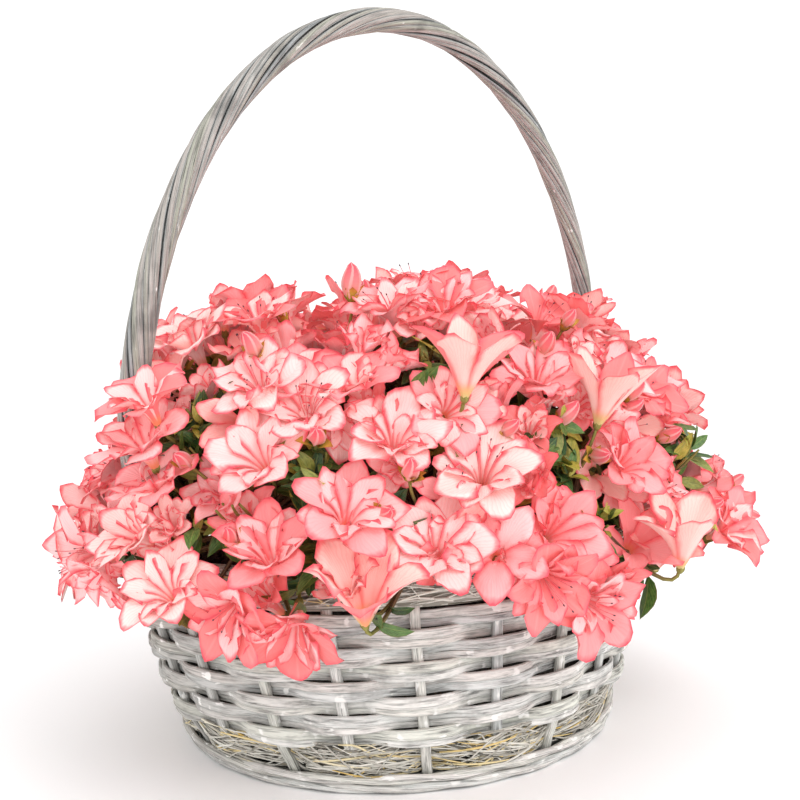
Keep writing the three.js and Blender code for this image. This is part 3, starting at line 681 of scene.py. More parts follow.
def base_point(share, turn, lift=0.0):
    """A point of the base: share of the way out to its edge, at a turn, lifted off its level."""
    x = (WALL["foot"][0] - BASE["edge"]) * share * np.cos(turn)
    y = (WALL["foot"][1] - BASE["edge"]) * share * np.sin(turn)
    return np.stack(np.broadcast_arrays(x, y, BASE["level"] + lift), -1)


ring_turn = np.linspace(0, 2 * np.pi, 8 * STAKE_COUNT, endpoint=False)
ring_share = np.linspace(0.955, 0.07, BASE["rings"])[:, None]
ring_wave = np.cos(np.pi * (ring_turn / STAKE_GAP + np.arange(BASE["rings"])[:, None]))
ring_path = base_point(ring_share, ring_turn, ring_wave)
ring_loop = np.concatenate([ring_path, ring_path[:, :2]], axis=1)
cx, cy = outline(6)
rings = sweep(ring_loop, UP, cx * 4.1, cy * 2.0)
rings[:, -1] = rings[:, 1]
rings = rings[:, 1:]
ring_part = grid_part(rings, True, False, u=np.arange(7) * 0.003 + rng.random((BASE["rings"], 1, 1)),
                      v=np.linspace(0, 0.9, rings.shape[1]), tone=rng.random((BASE["rings"], 1, 1)))
spoke_share = np.linspace(0.02, 0.97, 5)
spoke_path = base_point(spoke_share, stake_turn(np.arange(STAKE_COUNT))[:, None])
spokes = sweep(spoke_path, UP, cx * 2.2, cy * 1.6)
spoke_part = grid_part(spokes, True, True, u=np.arange(7) * 0.002, v=spoke_share * 0.15, tone=0.4)
make_piece("stakes_and_base", [stake_part, ring_part, spoke_part], washed_willow,
           ["basket_frame"])


# %% [markdown]
# ## Weaving
#
# Each of the eight rows is a pair of split rods that goes in front of one stake and behind
# the next. A cosine with its peaks on the stakes gives that wave. In front of a stake the
# rods spread, behind one they are squeezed together and sag, and this leaves the narrow dark
# gaps beside the stakes. No two rods are alike: their heights, edges and depth wander, and
# the ends of each rod overlap and tuck in.

# %% Weavers
FIBRES = 16
ROWS_PER_GAP = 9
PAIR = {"first": 4.8, "tall": 10.9, "spread": 1.0, "squeeze": 0.4, "sag": 1.1, "tuck": 2.6}


def woven_rod(turns, row, share, upper, seed, drift):
    """One of a row's two flat rods. With wave = cos(pi * (stakes passed + row)), the pair is
    tall mm high between stakes, spread more in front of one and squeeze less behind one,
    where it also sags; this rod has share of that height. Its inset is the wall's middle less
    a flattened wave, tanh(1.5 * wave). Level and height wander with noise, the ends tuck in,
    and the section is a flat rounded rectangle whose radius varies from fibre to fibre."""
    wave = np.cos(np.pi * ((turns - stake_turn(0)) / STAKE_GAP + row))
    crest = np.tanh(1.5 * wave) / np.tanh(1.5)
    behind = np.maximum(-wave, 0)
    walk = np.stack([turns * 4.0, np.full_like(turns, row * 7.3), np.zeros_like(turns)], -1)
    own = walk + np.array([0, 0, seed * 3.7])
    tall = PAIR["tall"] + PAIR["spread"] * np.maximum(wave, 0) - PAIR["squeeze"] * behind
    tall = tall + 0.9 * soft_noise(walk * 1.3, 1.0, 3)
    along = np.linspace(-1, 1, len(turns))
    tucked = smooth(0.93, 1.0, np.abs(along)) * PAIR["tuck"]
    level = WEAVE["bottom"] + PAIR["first"] + row * WEAVE["pitch"] + drift * along
    sag = behind * (1.5 * soft_noise(walk * 3.3, 1.0, 5) - PAIR["sag"])
    level = level + 1.1 * soft_noise(walk, 1.0, 4) + sag
    place = 0.5 * (1 - share) * (1 if upper else -1)
    z = level + place * tall + 0.5 * soft_noise(own * 2.1, 1.0, 6)
    inset = WALL_CENTRE - WEAVE["wave"] * crest + 0.9 * soft_noise(own * 1.7, 1.0, 7) + tucked
    path = wall_point(turns, z, inset)
    height = tall * share * (1 + 0.12 * soft_noise(own * 1.1, 1.0, 8))
    thickness = WEAVE["thickness"] - 0.3
    cx, cy = outline(FIBRES, 0.38)
    fibre = np.stack(np.broadcast_arrays(turns[:, None] * 5.0, np.arange(FIBRES) * 1.7, seed * 5.3), -1)
    fibre = 1 + 0.34 * soft_noise(fibre, 1.0, 9)[None]
    body = sweep(path[None], UP, cx * fibre * thickness / 2, cy * height[None, :, None] / 2)
    steps = np.linalg.norm(np.diff(path, axis=0), axis=-1)
    length = np.concatenate([[0], np.cumsum(steps)]) * MM
    around = np.arange(FIBRES + 1) * (9 * share + thickness) * 2 * MM / FIBRES
    return grid_part(body, True, True, u=around + seed * 0.37, v=length + seed * 0.11,
                     tone=(seed * 0.6180339) % 1.0)


OVERLAP = 0.2
weaver_parts = []
for row in range(WEAVE["rows"]):
    share = 0.36 + 0.28 * rng.random()
    start = stake_turn(rng.integers(0, STAKE_COUNT) + 0.5)
    turns = np.linspace(start - OVERLAP, start + 2 * np.pi + OVERLAP, STAKE_COUNT * ROWS_PER_GAP)
    drift = rng.uniform(-0.6, 0.6)
    weaver_parts.append(woven_rod(turns, row, share, False, 20 + 2 * row, drift))
    weaver_parts.append(woven_rod(turns, row, 1 - share, True, 21 + 2 * row, drift))
row_nodes = [f"weaver_row_{n + 1}" for n in range(WEAVE["rows"])]
make_piece("woven_rods", weaver_parts, washed_willow, row_nodes)

# %% [markdown]
# ## Foot rods
#
# At the foot two pairs of thin rods are twisted round each other and round the stakes,
# which binds the wall to the base. Each rod is a round tube whose centre circles the
# pair's common line once for every two stakes.

# %% Foot rods
ROD_SIDES = 8
foot_turns = np.linspace(0, 2 * np.pi, STAKE_COUNT * ROWS_PER_GAP + 1)
foot_parts = []
for row, partner in itertools.product((0, 1), (0, 1)):
    swirl = foot_turns / STAKE_GAP * np.pi + partner * np.pi + row
    z = FOOT_RODS["radius"] + FOOT_RODS["lift"] + row * FOOT_RODS["pitch"] + 1.2 * np.sin(swirl)
    inset = FOOT_RODS["radius"] + 0.8 * np.cos(swirl)
    path = wall_point(foot_turns, z, inset)
    loop = np.concatenate([path[-2:-1], path, path[1:2]])
    fat = 2.15 * (1 + 0.22 * soft_noise(loop, 40.0, 30 + 2 * row + partner))[None, :, None]
    rod = round_tube(loop[None], fat, ROD_SIDES)[:, 1:-1]
    foot_parts.append(grid_part(
        rod, True, False, u=np.arange(ROD_SIDES + 1) * 0.0018 + row + partner * 0.3,
        v=foot_turns * 0.155, tone=0.2 + 0.37 * row + 0.3 * partner))
make_piece("foot_rods", foot_parts, washed_willow, ["foot_rod_1", "foot_rod_2"])


# %% [markdown]
# ## Grass
#
# Between the foot and the weaving, and again on the rim, grass and thin shoots are packed
# and bound in. One strand is a thin tube along a short curve; over a thousand of them in
# each band, laid at different slopes over a dark bed, read as a bundle. Some are yellow.

# %% Strands on the wall
STRANDS = 1150


def strands(path, radius, seed):
    """Thin tubes with four sides along many curves at once, tapering to both ends."""
    dice = np.random.default_rng(seed)
    count, rows, _ = path.shape
    taper = np.sin(np.linspace(0.12, 0.95, rows) * np.pi)[None, :, None] ** 0.5
    body = round_tube(path, radius[:, None, None] * taper, 4, UP + 0.01)
    return grid_part(body, True, True, u=np.arange(5) * 0.001 + dice.random((count, 1, 1)),
                     v=np.linspace(0, 0.08, rows), tone=dice.random((count, 1, 1)) ** 0.8)


def low_strands(count, rows=9):
    """Strands that each span 6 to 23 degrees of turn and climb or fall. They pass behind one
    stake and in front of the next: how far out they are follows |sin|^0.7, which is zero at
    every other stake."""
    dice = np.random.default_rng(41)
    start = dice.random((count, 1)) * 2 * np.pi
    span = dice.uniform(0.1, 0.4, (count, 1))
    t = np.linspace(0, 1, rows)[None]
    turn = start + span * t
    room = GRASS["top"] - GRASS["bottom"]
    z0 = dice.uniform(GRASS["bottom"] - 1.5, GRASS["top"] + 1.5, (count, 1))
    slope = dice.normal(0, 0.75, (count, 1)) * room
    z = z0 + slope * (t - 0.5) + dice.normal(0, 1.6, (count, 1)) * np.sin(t * np.pi)
    z = np.clip(z, GRASS["bottom"] - 1.5, GRASS["top"] + 2.0)
    out = np.abs(np.sin((turn - stake_turn(0)) / STAKE_GAP * np.pi / 2)) ** 0.7
    behind = stake_inset(z) + STAKES["thickness"] / 2 + 1.2
    inset = behind + (3.2 - behind) * out + dice.uniform(-0.9, 2.0, (count, 1))
    return strands(wall_point(turn, z, inset), dice.uniform(0.35, 0.85, count), 42)


def band_bed(levels, insets, tone, seed):
    """The dark bed under the strands: a closed tube round the wall with bumps."""
    turns = np.linspace(0, 2 * np.pi, 6 * STAKE_COUNT + 1)
    points = wall_point(turns[:, None], np.array(levels)[None], np.array(insets)[None])
    push = soft_noise(points, 6.0, seed)[..., None] * 1.2
    points = points + push * level_out(points)
    points[-1] = points[0]
    return grid_part(points[None], True, False, u=np.arange(len(levels) + 1) * 0.01,
                     v=turns * 0.2, tone=tone)


bed_low = band_bed((33.6, 24.0, 14.4, 24.0), (13.0, 13.6, 15.6, 19.5), 0.2, 7)
make_piece("grass_below_the_weave", [bed_low, low_strands(STRANDS)], grass_finish,
           ["lower_grass_band"])


# %% Strands on the rim
def rim_strands(count, rows=12):
    """Strands round the rim's roll: a place round the roll's oval section drifts as the
    strand runs along the wall, slowly for most and fast for some, which bind the others."""
    dice = np.random.default_rng(51)
    t = np.linspace(0, 1, rows)[None]
    turn = dice.random((count, 1)) * 2 * np.pi + dice.uniform(0.22, 0.9, (count, 1)) * t
    swing = np.where(dice.random((count, 1)) < 0.25, 2.8, 0.9)
    angle = dice.uniform(-1.1, 2.9, (count, 1)) + dice.normal(0, 1, (count, 1)) * swing * (t - 0.5)
    angle = angle + dice.normal(0, 0.12, (count, 1)) * np.sin(t * 9)
    middle = (RIM["bottom"] + RIM["top"]) / 2 - 0.6
    reach = 1 + dice.uniform(-0.03, 0.05, (count, 1))
    z = middle + 12.6 * reach * np.sin(angle)
    inset = RIM["thickness"] / 2 + 0.4 - 6.2 * reach * np.cos(angle)
    return strands(wall_point(turn, z, inset), dice.uniform(0.35, 0.85, count), 52)


bed_rim = band_bed((146.0, 136.0, 124.0, 122.5, 136.0, 147.0), (5.0, 1.9, 3.0, 9.0, 12.6, 9.0), 0.14, 8)
make_piece("grass_on_the_rim", [bed_rim, rim_strands(STRANDS)], grass_finish, ["rim_band"])

# %% [markdown]
# ## The hoop handle
#
# Fourteen weathered rods are twisted round a core, in a bundle that tapers from its left
# foot to its right foot. The centreline follows the basket's slope, bends upright and closes
# in a half ellipse that leans a little. Each rod runs at its own place in the bundle's
# section, which turns 3.7 times along the hoop, and painted shade darkens the grooves between
# rods and the core between them.

# %% Handle
RODS = 14
ROD_FIBRES = 12
CORE_SIDES = 10
CORE_STEP = 3
HOOP_POINTS = 230
HOOP_NORMAL = np.array([0.0, -1.0, 0.0])


def hip_curve(depth):
    """A bend from level to a slope: sqrt(depth^2 + hip^2) - hip."""
    return np.hypot(depth, HANDLE["hip"]) - HANDLE["hip"]


def leg_width(z):
    """Half width below the springing, drawn in along the hip's curve to the foot's width."""
    fall = HANDLE["half_width"] - HANDLE["foot_width"]
    whole = hip_curve(HANDLE["springing"] - HANDLE["foot"])
    return HANDLE["half_width"] - fall * hip_curve(HANDLE["springing"] - z) / whole


def hoop_line(count):
    """The centreline at equal steps of its length (leg, half ellipse with a lean, leg), and
    how far along it each point is."""
    z = np.linspace(HANDLE["foot"], HANDLE["springing"], 40)[:-1]
    angle = np.linspace(np.pi, 0, 400)
    arch_z = HANDLE["springing"] + (HANDLE["apex"] - HANDLE["springing"]) * np.sin(angle)
    arch_x = HANDLE["half_width"] * np.cos(angle) + HANDLE["lean"] * np.sin(angle)
    x = np.concatenate([-leg_width(z), arch_x, leg_width(z)[::-1]])
    height = np.concatenate([z, arch_z, z[::-1]])
    walked = np.concatenate([[0], np.cumsum(np.hypot(np.diff(x), np.diff(height)))])
    even = np.linspace(0, walked[-1], count)
    return np.stack([np.interp(even, walked, x), 0 * even, np.interp(even, walked, height)], -1), even


hoop, hoop_length = hoop_line(HOOP_POINTS)
hoop_out = unit(np.cross(np.broadcast_to(HOOP_NORMAL, hoop.shape), unit(np.gradient(hoop, axis=0))))
share = np.linspace(0, 1, HOOP_POINTS)
bundle = HANDLE["radii"][0] + (HANDLE["radii"][1] - HANDLE["radii"][0]) * share
cx, cy = outline(ROD_FIBRES, 0.85)
# Painted shade: the side of each rod that faces into the bundle gets a lower tone, so the grooves darken.
groove_shade = 1.1 * (1 - smooth(0.0, 0.9, cy / np.hypot(cx, cy)))
dice = np.random.default_rng(61)
handle_parts = []
for rod in range(RODS):
    walk = np.stack([share * 9, np.full_like(share, rod * 3.1), np.zeros_like(share)], -1)
    twist = HANDLE["turns"] * 2 * np.pi * share + rod * 2 * np.pi / RODS
    twist = twist + 0.28 * soft_noise(walk, 1.0, 62)
    sink = 0.78 + 0.07 * soft_noise(walk * 0.9, 1.0, 63 + rod)
    centre = np.cos(twist)[:, None] * hoop_out + np.sin(twist)[:, None] * HOOP_NORMAL
    line = hoop + (bundle * sink)[:, None] * centre
    fat = bundle * (0.15 + 0.07 * dice.random()) * (1 + 0.24 * soft_noise(walk * 2.2, 1.0, 80 + rod))
    fat = fat[None, :, None]
    handle_parts.append(grid_part(
        sweep(line[None], centre[None], cx * fat, cy * fat * 0.92), True, True,
        u=np.arange(ROD_FIBRES + 1) * 0.0016 + rod * 0.21, v=hoop_length * MM + rod * 0.4,
        tone=dice.random() - groove_shade))
# Painted shade: the core's tone of -0.35 darkens it, since it only shows in the shade between rods.
core = round_tube(hoop[None, ::CORE_STEP], (bundle[::CORE_STEP] * 0.64)[:, None], CORE_SIDES, HOOP_NORMAL)
handle_parts.append(grid_part(
    core, True, True, u=np.arange(CORE_SIDES + 1) * 0.002, v=hoop_length[::CORE_STEP] * MM, tone=-0.35))
make_piece("twisted_handle", handle_parts, handle_willow, ["hoop_handle"])

# %% [markdown]
# ## Compost
#
# The root ball fills the basket; it only shows as darkness behind the weave and under the
# leaves. It is one closed skin over rings that follow the wall, crowned on top, and
# roughened by two sizes of noise. Loose crumbs lie on it.

# %% Root ball
BALL_RINGS = ((7.0, 90.0), (7.2, 25.0), (20.0, 22.0), (33.6, 20.6), (37.0, 13.2), (60.0, 13.2), (90.0, 13.2),
              (112.0, 13.2), (121.0, 14.5), (121.8, 24.0), (123.4, 50.0), (125.2, 85.0), (126.4, 120.0),
              (126.8, 140.0))
BALL_COLUMNS = 96
CRUMBS = 900
CRUMB_ROWS, CRUMB_COLS = 3, 5
ball_z, ball_inset = np.array(BALL_RINGS).T[..., None]
ball_turn = np.linspace(0, 2 * np.pi, BALL_COLUMNS, endpoint=False)
ball = wall_point(ball_turn, ball_z, ball_inset)
ball[-1, :, :2] *= 0.05
ball[0, :, :2] *= 0.1
rough = soft_noise(ball, 9.0, 3) * 1.6 + soft_noise(ball, 3.5, 4) * 0.8
on_top = ball_z > 121.4
ball = ball - np.where(on_top, 0.0, np.abs(rough))[..., None] * level_out(ball)
ball[..., 2] += np.where(on_top, rough * 0.6 - 0.4, 0.0)
ball_part = grid_part(ball[None], True, True, u=np.linspace(0, 1, BALL_COLUMNS + 1),
                      v=np.linspace(0, 0.3, len(BALL_RINGS)))
dice = np.random.default_rng(71)
crumb_share = np.sqrt(dice.random(CRUMBS)) * 0.9
crumb_turn = dice.random(CRUMBS) * 2 * np.pi
crumb_at = wall_point(crumb_turn, 121.0, 12.6) * crumb_share[:, None]
crumb_at[:, 2] = 126.6 - 4.6 * crumb_share ** 3
lat = (np.linspace(-0.46, 0.46, CRUMB_ROWS) * np.pi)[:, None]
lon = np.arange(CRUMB_COLS) * 2 * np.pi / CRUMB_COLS
globe = np.broadcast_arrays(np.cos(lat) * np.cos(lon), np.cos(lat) * np.sin(lon), np.sin(lat))
crumbs = np.stack(globe, -1) * dice.uniform(0.7, 2.6, (CRUMBS, 1, 1, 3))
crumbs = crumbs * dice.uniform(0.8, 1.2, (CRUMBS, CRUMB_ROWS, CRUMB_COLS, 1))
crumb_part = grid_part(crumbs + crumb_at[:, None, None], True, True)
make_piece("compost", [ball_part, crumb_part], compost_finish, ["root_ball"])


# %% [markdown]
# ## The crown's plan
#
# The shrub flowers all over one surface: a flat-topped dome that slopes out to a waist over
# the rim and turns down past it, with four sprays that hang or reach further. The source
# stands its blooms on that surface at equal shares of its area, a golden turn apart, and a
# seeded stream moves each a little. The same rule is written here again, with the same
# stream, so a flower opens where its solid is, but for the small moves that come later.

# %% Crown surface
def sprayed(turn, column):
    """The sum over the sprays of their reach or hang, each times exp(-(away / width)^2)."""
    total = 0.0
    for spray in SPRAYS:
        past = turn - spray[0] * DEGREE
        away = np.arctan2(np.sin(past), np.cos(past))
        total = total + spray[column] * np.exp(-((away / (spray[1] * DEGREE)) ** 2))
    return total


def crown_point(place, turn):
    """A superellipse profile (exponent 2 / square) turned about the vertical, drawn in
    towards the top by taper; past 90 degrees the lip drops and tucks in."""
    place, turn = np.broadcast_arrays(np.asarray(place, float), np.asarray(turn, float))
    angle = np.clip(place, 0, 90) * DEGREE
    fall = np.maximum(0, place - 90) / (CROWN["edge"] - 90)
    up = np.maximum(np.cos(angle), 0) ** (2 / CROWN["square"])
    out = np.maximum(np.sin(angle), 0) ** (2 / CROWN["square"])
    share = (1 - CROWN["taper"] * up) * out * (1 - CROWN["tuck"] * fall * fall)
    reach = share * (1 + sprayed(turn, 2) * out ** 8)
    drop = (CROWN["waist"] - CROWN["lip"] + sprayed(turn, 3)) * fall
    x = CROWN["reach"][0] * reach * np.cos(turn)
    y = CROWN["reach"][1] * reach * np.sin(turn)
    return np.stack([x, y, CROWN["waist"] + CROWN["rise"] * up - drop], -1)


def crown_normal(place, turn):
    """The cross product of the surface's slopes down and round, from 1.5 degree steps."""
    down = crown_point(place + 1.5, turn) - crown_point(place - 1.5, turn)
    around = crown_point(place, turn + 1.5 * DEGREE) - crown_point(place, turn - 1.5 * DEGREE)
    return unit(np.cross(down, around))


def seeded_stream(seed):
    """A repeatable stream of numbers from 0 to 1: the low 32 bits of the last one times
    STREAM_TIMES plus STREAM_PLUS, over 2^32."""
    state = seed
    while True:
        state = (state * STREAM_TIMES + STREAM_PLUS) & LOW_BITS
        yield state / (LOW_BITS + 1)


# %% Bloom places
GOLDEN_TURN = 137.508
PROFILE_STEPS = 472
LATTICE_BLOOMS = 130
HANDLE_ROOM = 15


def bloom_at(place, turn, stream, lift=16.0):
    """Mouth, axis, size and spin of one bloom: the crown's normal tipped, its place nudged."""
    tip = np.array([next(stream) - 0.5, next(stream) - 0.5, next(stream) - 0.35]) * 0.7
    nudged = turn + (next(stream) - 0.5) * 0.06
    axis = unit(crown_normal(max(place, 2.0), nudged) + tip)
    size = 1 + (next(stream) - 0.55) * 0.22
    mouth = crown_point(place, nudged) + axis * (next(stream) - 0.6) * lift
    return mouth, axis, size, next(stream) * 2 * np.pi


def even_places(count):
    """Places on the profile in the middle of so many equal shares of the crown's area; a
    ring's area goes with its slope's length times its radius."""
    line = crown_point(np.linspace(0, CROWN["edge"], PROFILE_STEPS + 1), 0.0)
    rings = np.linalg.norm(np.diff(line, axis=0), axis=1) * (line[1:, 0] + line[:-1, 0])
    areas = np.concatenate([[0], np.cumsum(rings)])
    wanted = (np.arange(count) + 0.5) / count * areas[-1]
    return (np.searchsorted(areas, wanted) - 0.5) / PROFILE_STEPS * CROWN["edge"]


def golden_blooms(count, start, stream, lift):
    """So many blooms, evenly over the crown, each a golden turn further round."""
    return [bloom_at(place, k * GOLDEN_TURN * DEGREE + start, stream, lift)
            for k, place in enumerate(even_places(count))]


def clear_of_basket(mouth):
    """Below the rim a bloom has to stand outside the wall, and everywhere off the handle."""
    x, y, z = mouth
    long_axis, short_axis = wall_axes(z)
    if z < WALL["height"] + 2 and np.hypot(x / (long_axis + 1), y / (short_axis + 1)) < 1:
        return False
    width = leg_width(np.clip(z, HANDLE["foot"], HANDLE["springing"]))
    return np.hypot(abs(x) - width, y) > HANDLE_ROOM


stream = seeded_stream(20260)
blooms = golden_blooms(LATTICE_BLOOMS, 0.0, stream, 16.0)
for (bearing, width, _, _), span in zip(SPRAYS, SPRAY_SPANS):
    for k in (0, 1):
        blooms.append(bloom_at(span[k], (bearing + (0.5 - k) * width) * DEGREE, stream))
blooms = [bloom for bloom in blooms if clear_of_basket(bloom[0])]
print("blooms of the source's rule:", len(blooms))

# %% [markdown]
# ## Flowers
#
# An azalea flower is a funnel that opens into five overlapping lobes. Making each lobe its
# own small surface, on one shared funnel, lets neighbours overlap as they do on the plant.
# One parameter runs across a lobe and one along it. Along, the funnel's wall turns from
# nearly upright to nearly flat; across, the lobe widens until it meets its neighbours and
# then draws in to a point; near the margin it is frilled.

# %% Lobes
LOBE_ROWS, LOBE_COLS = 10, 8
ACROSS = np.linspace(1, -1, LOBE_COLS)
ALONG = (np.linspace(0, 1, LOBE_ROWS) ** 0.85)[:, None]
PROFILE_PARTS = 32
USUAL_LENGTH = 42
ROOM_BELOW, ROOM_ABOVE = 20, 12


def running_sum(steps):
    """0, the first step, the first two, and so on; the last step isn't used."""
    return np.concatenate([np.zeros((len(steps), 1)), np.cumsum(steps[:, :-1], axis=1)], axis=1)


def placed(origin, *moves):
    """Grids of points: each grid's origin plus its moves, given as (how far, direction)."""
    points = origin[:, None, None]
    for how_far, direction in moves:
        points = points + how_far[..., None] * direction[:, None, None]
    return points


def lobes(mouth_frame, phase, length, breadth, openness, frill, flare, dice):
    """Grids of lobes. mouth_frame is (neck, side, up, axis), each (lobes, 3); phase is the
    lobe's turn about the axis. The profile's slope from the axis is flare degrees in the
    tube, rises by an S-curve to openness * 74, and curls back at the tip; radius and height
    are the running sums of its sine and cosine. Half its width is b t / (b^4 + t^4)^(1/4),
    a smooth minimum of its own breadth b and its share t of the tube, and lift ruffles it
    off the profile."""
    neck, side, up, axis = mouth_frame
    count = len(phase)

    def draw(low, high):
        """One number for each lobe."""
        return dice.uniform(low, high, (count, 1, 1))

    s = ALONG * (1 - draw(0.22, 0.46) * np.abs(ACROSS) ** 1.7 * ALONG ** 2)
    fine = np.linspace(0, 1, PROFILE_PARTS + 1)
    flare = flare[:, None]
    opened = openness[:, None] * 74 + draw(-11, 11)[:, 0]
    slope = flare + (opened - flare) * smooth(0.15, 0.62, fine)
    slope = (slope + draw(0, 52)[:, 0] * smooth(0.66, 1.15, fine)) * DEGREE
    step = length[:, None] / PROFILE_PARTS
    radius = 2.0 + running_sum(np.sin(slope) * step)
    height = running_sum(np.cos(slope) * step)
    low = np.clip(np.floor(s * PROFILE_PARTS).astype(int), 0, PROFILE_PARTS - 1)
    part = s * PROFILE_PARTS - low
    each = np.arange(count)[:, None, None]
    r, h, psi = ((1 - part) * table[each, low] + part * table[each, low + 1]
                 for table in (radius, height, slope))
    broad = draw(0.9, 1.1) * (breadth * length)[:, None, None] * (1 - 0.34 * smooth(0.6, 1.05, s) ** 1.2)
    tube = 1.12 * np.pi / 5 * r
    width = broad * tube / (broad ** 4 + tube ** 4) ** 0.25
    rim = smooth(0.4, 1.0, ALONG)
    edge = ACROSS ** 2
    frill = frill[:, None, None]
    lift = draw(-2.0, 4.2) * (edge - 0.3) * rim + ACROSS * smooth(0.2, 0.6, ALONG)
    side_wave = frill * draw(0.9, 2.4) * edge * rim
    lift += side_wave * np.sin(2 * np.pi * (draw(1.5, 2.6) * ALONG + draw(0, 1) + 0.3 * ACROSS))
    tip_wave = frill * draw(0.6, 2.2) * ALONG ** 5
    lift += tip_wave * np.sin(2 * np.pi * (draw(0.5, 1.1) * ACROSS + draw(0, 1)))
    lift -= draw(0.6, 1.8) * np.exp(-(ACROSS / 0.2) ** 2) * np.sin(np.pi * ALONG) ** 0.7
    lift *= length[:, None, None] / USUAL_LENGTH
    out = r - lift * np.cos(psi)
    angle = phase[:, None, None] + ACROSS * width / r
    return placed(neck, (out * np.cos(angle), side), (out * np.sin(angle), up),
                  (h + lift * np.sin(psi), axis))


def touches_basket(grids):
    """Whether any point of a grid lies in the basket's wall or in the handle."""
    x, y, z = np.moveaxis(grids, -1, 0)
    long_axis, short_axis = wall_axes(z)
    oval = np.hypot(x / long_axis, y / short_axis)
    in_wall = (z < WALL["height"] + 1) & (oval > 0.915) & (oval < 1.008)
    climb = np.clip((z - HANDLE["springing"]) / (HANDLE["apex"] - HANDLE["springing"]), 0, 1)
    legs = leg_width(np.clip(z, HANDLE["foot"], HANDLE["springing"])) * np.sqrt(1 - climb ** 2)
    off_leg = np.hypot(np.abs(x - HANDLE["lean"] * climb) - legs, y)
    in_handle = (off_leg < 10.2) & (z > HANDLE["foot"])
    return (in_wall | in_handle).reshape(len(grids), -1).any(axis=1)


def out_of_reach(grids):
    """Whether any point of a grid lies more than ROOM_BELOW past the low corner of the
    frame's box, or more than ROOM_ABOVE past its high corner."""
    low, high = (np.array(corner) / MM for corner in cad_box)
    past = (grids < low - ROOM_BELOW) | (grids > high + ROOM_ABOVE)
    return past.reshape(len(grids), -1).any(axis=1)


def tile_map(column, row, tiles, across, along):
    """Each grid's place in a sheet of tiles: across runs from 1 to -1, along from 0 to 1."""
    u = (column[:, None, None] + 0.5 + TILE_ROOM * 0.5 * across) / tiles
    v = (row[:, None, None] + (1 - TILE_ROOM) / 2 + TILE_ROOM * along) / tiles
    return u, v


# %% [markdown]
# ## Which flower is what
#
# The fullest flowers, the show blooms, stand where the photograph shows them, and the
# lattice flowers that they would cover give way. Trumpets seen from the side stand upright
# between them, and a few clearings stay open down to the leaves. Everything else is filled
# with rosettes, small doubled flowers that are crowded and crumpled.

# %% Where flowers and clearings are
# Each is a place on the crown's profile and a turn, in degrees; a clearing has its radius
# too. By the handle's left leg, it is the height, then the distance to the camera's side
# and to its right.
SHOW = ((81, 211), (87, 227), (77, 234), (85, 280), (89, 260), (58, 265), (72, 303), (90, 306), (28, 247),
        (58, 225), (50, 178), (64, 206), (68, 217), (71, 176), (34, 192), (43, 295), (110, 219), (101, 209),
        (89, 188), (108, 265), (98, 256), (89, 240), (90, 199), (89, 215), (83, 248), (62, 290), (50, 213))
FUNNELS = ((66, 247), (75, 274), (95, 229), (90, 283))
BY_THE_LEG = ((258, 38, 12), (233, 36, 8), (208, 36, 14))
CLEARINGS = ((78, 194, 21), (82, 222, 20), (56, 243, 17), (81, 264, 20), (83, 304, 20), (89, 272, 14),
             (89, 224, 12), (87, 206, 10), (75, 20, 17), (82, 75, 16), (60, 120, 15), (84, 140, 17))
FILLERS = 300
SHOW_ROOM = 31
FILLER_ROOM = 19
NECK_BEHIND = 30
UNDER_LIP = 96
clear_middles = np.array([crown_point(place, turn * DEGREE) for place, turn, _ in CLEARINGS])
clear_radii = np.array([radius for _, _, radius in CLEARINGS])


def columns(records):
    """The columns of a list of records, each as an array."""
    return [np.array(column) for column in zip(*records)]


def nearest(points, others):
    """For each point, the distance to the nearest of the others."""
    away = np.asarray(points)[:, None] - np.asarray(others)[None]
    return np.linalg.norm(away, axis=-1).min(axis=1)


def in_clearing(point, margin):
    """Whether a point is nearer to a clearing's middle than its radius and that margin."""
    return bool(np.any(np.linalg.norm(point - clear_middles, axis=1) < clear_radii + margin))


# %% Deal the flowers
# A flower's record is its kind, mouth, axis, size, spin and openness.
dice = np.random.default_rng(81)
flowers = []
for place, turn in SHOW:
    normal = crown_normal(place, turn * DEGREE)
    upright = 0.4 if place < UNDER_LIP else -0.05
    axis = unit(normal + UP * upright + dice.normal(0, 0.2, 3))
    mouth = crown_point(place, turn * DEGREE) + axis * dice.uniform(1, 8)
    flowers.append(("show", mouth, axis, dice.uniform(1.04, 1.16), dice.uniform(0, 6.28),
                    dice.uniform(0.82, 0.98)))
for height, before, beside in BY_THE_LEG:
    leg = np.array([-leg_width(min(height, HANDLE["springing"])), 0, height])
    mouth = leg + TO_CAMERA * before + TO_RIGHT * beside
    axis = unit(UP * 0.85 + TO_CAMERA * 0.4 - TO_RIGHT * 0.3)
    flowers.append(("show", mouth, axis, dice.uniform(1.0, 1.1), dice.uniform(0, 6.28),
                    dice.uniform(0.85, 1.0)))
for place, turn in FUNNELS:
    normal = crown_normal(place, turn * DEGREE)
    axis = unit(UP + normal * 0.3 + dice.normal(0, 0.08, 3))
    mouth = crown_point(place, turn * DEGREE) + UP * 14 + normal * 8
    flowers.append(("funnel", mouth, axis, 1.05, dice.uniform(0, 6.28), 0.56))
chosen = [flower[1] for flower in flowers]
for mouth, axis, size, spin in blooms:
    if nearest([mouth], chosen)[0] > SHOW_ROOM and not in_clearing(mouth, 11):
        flowers.append(("main", mouth, axis, size * 1.03, spin, dice.uniform(0.76, 1.0)))
fillers = golden_blooms(FILLERS, 0.5 * GOLDEN_TURN * DEGREE + 1.1, seeded_stream(777), 14.0)
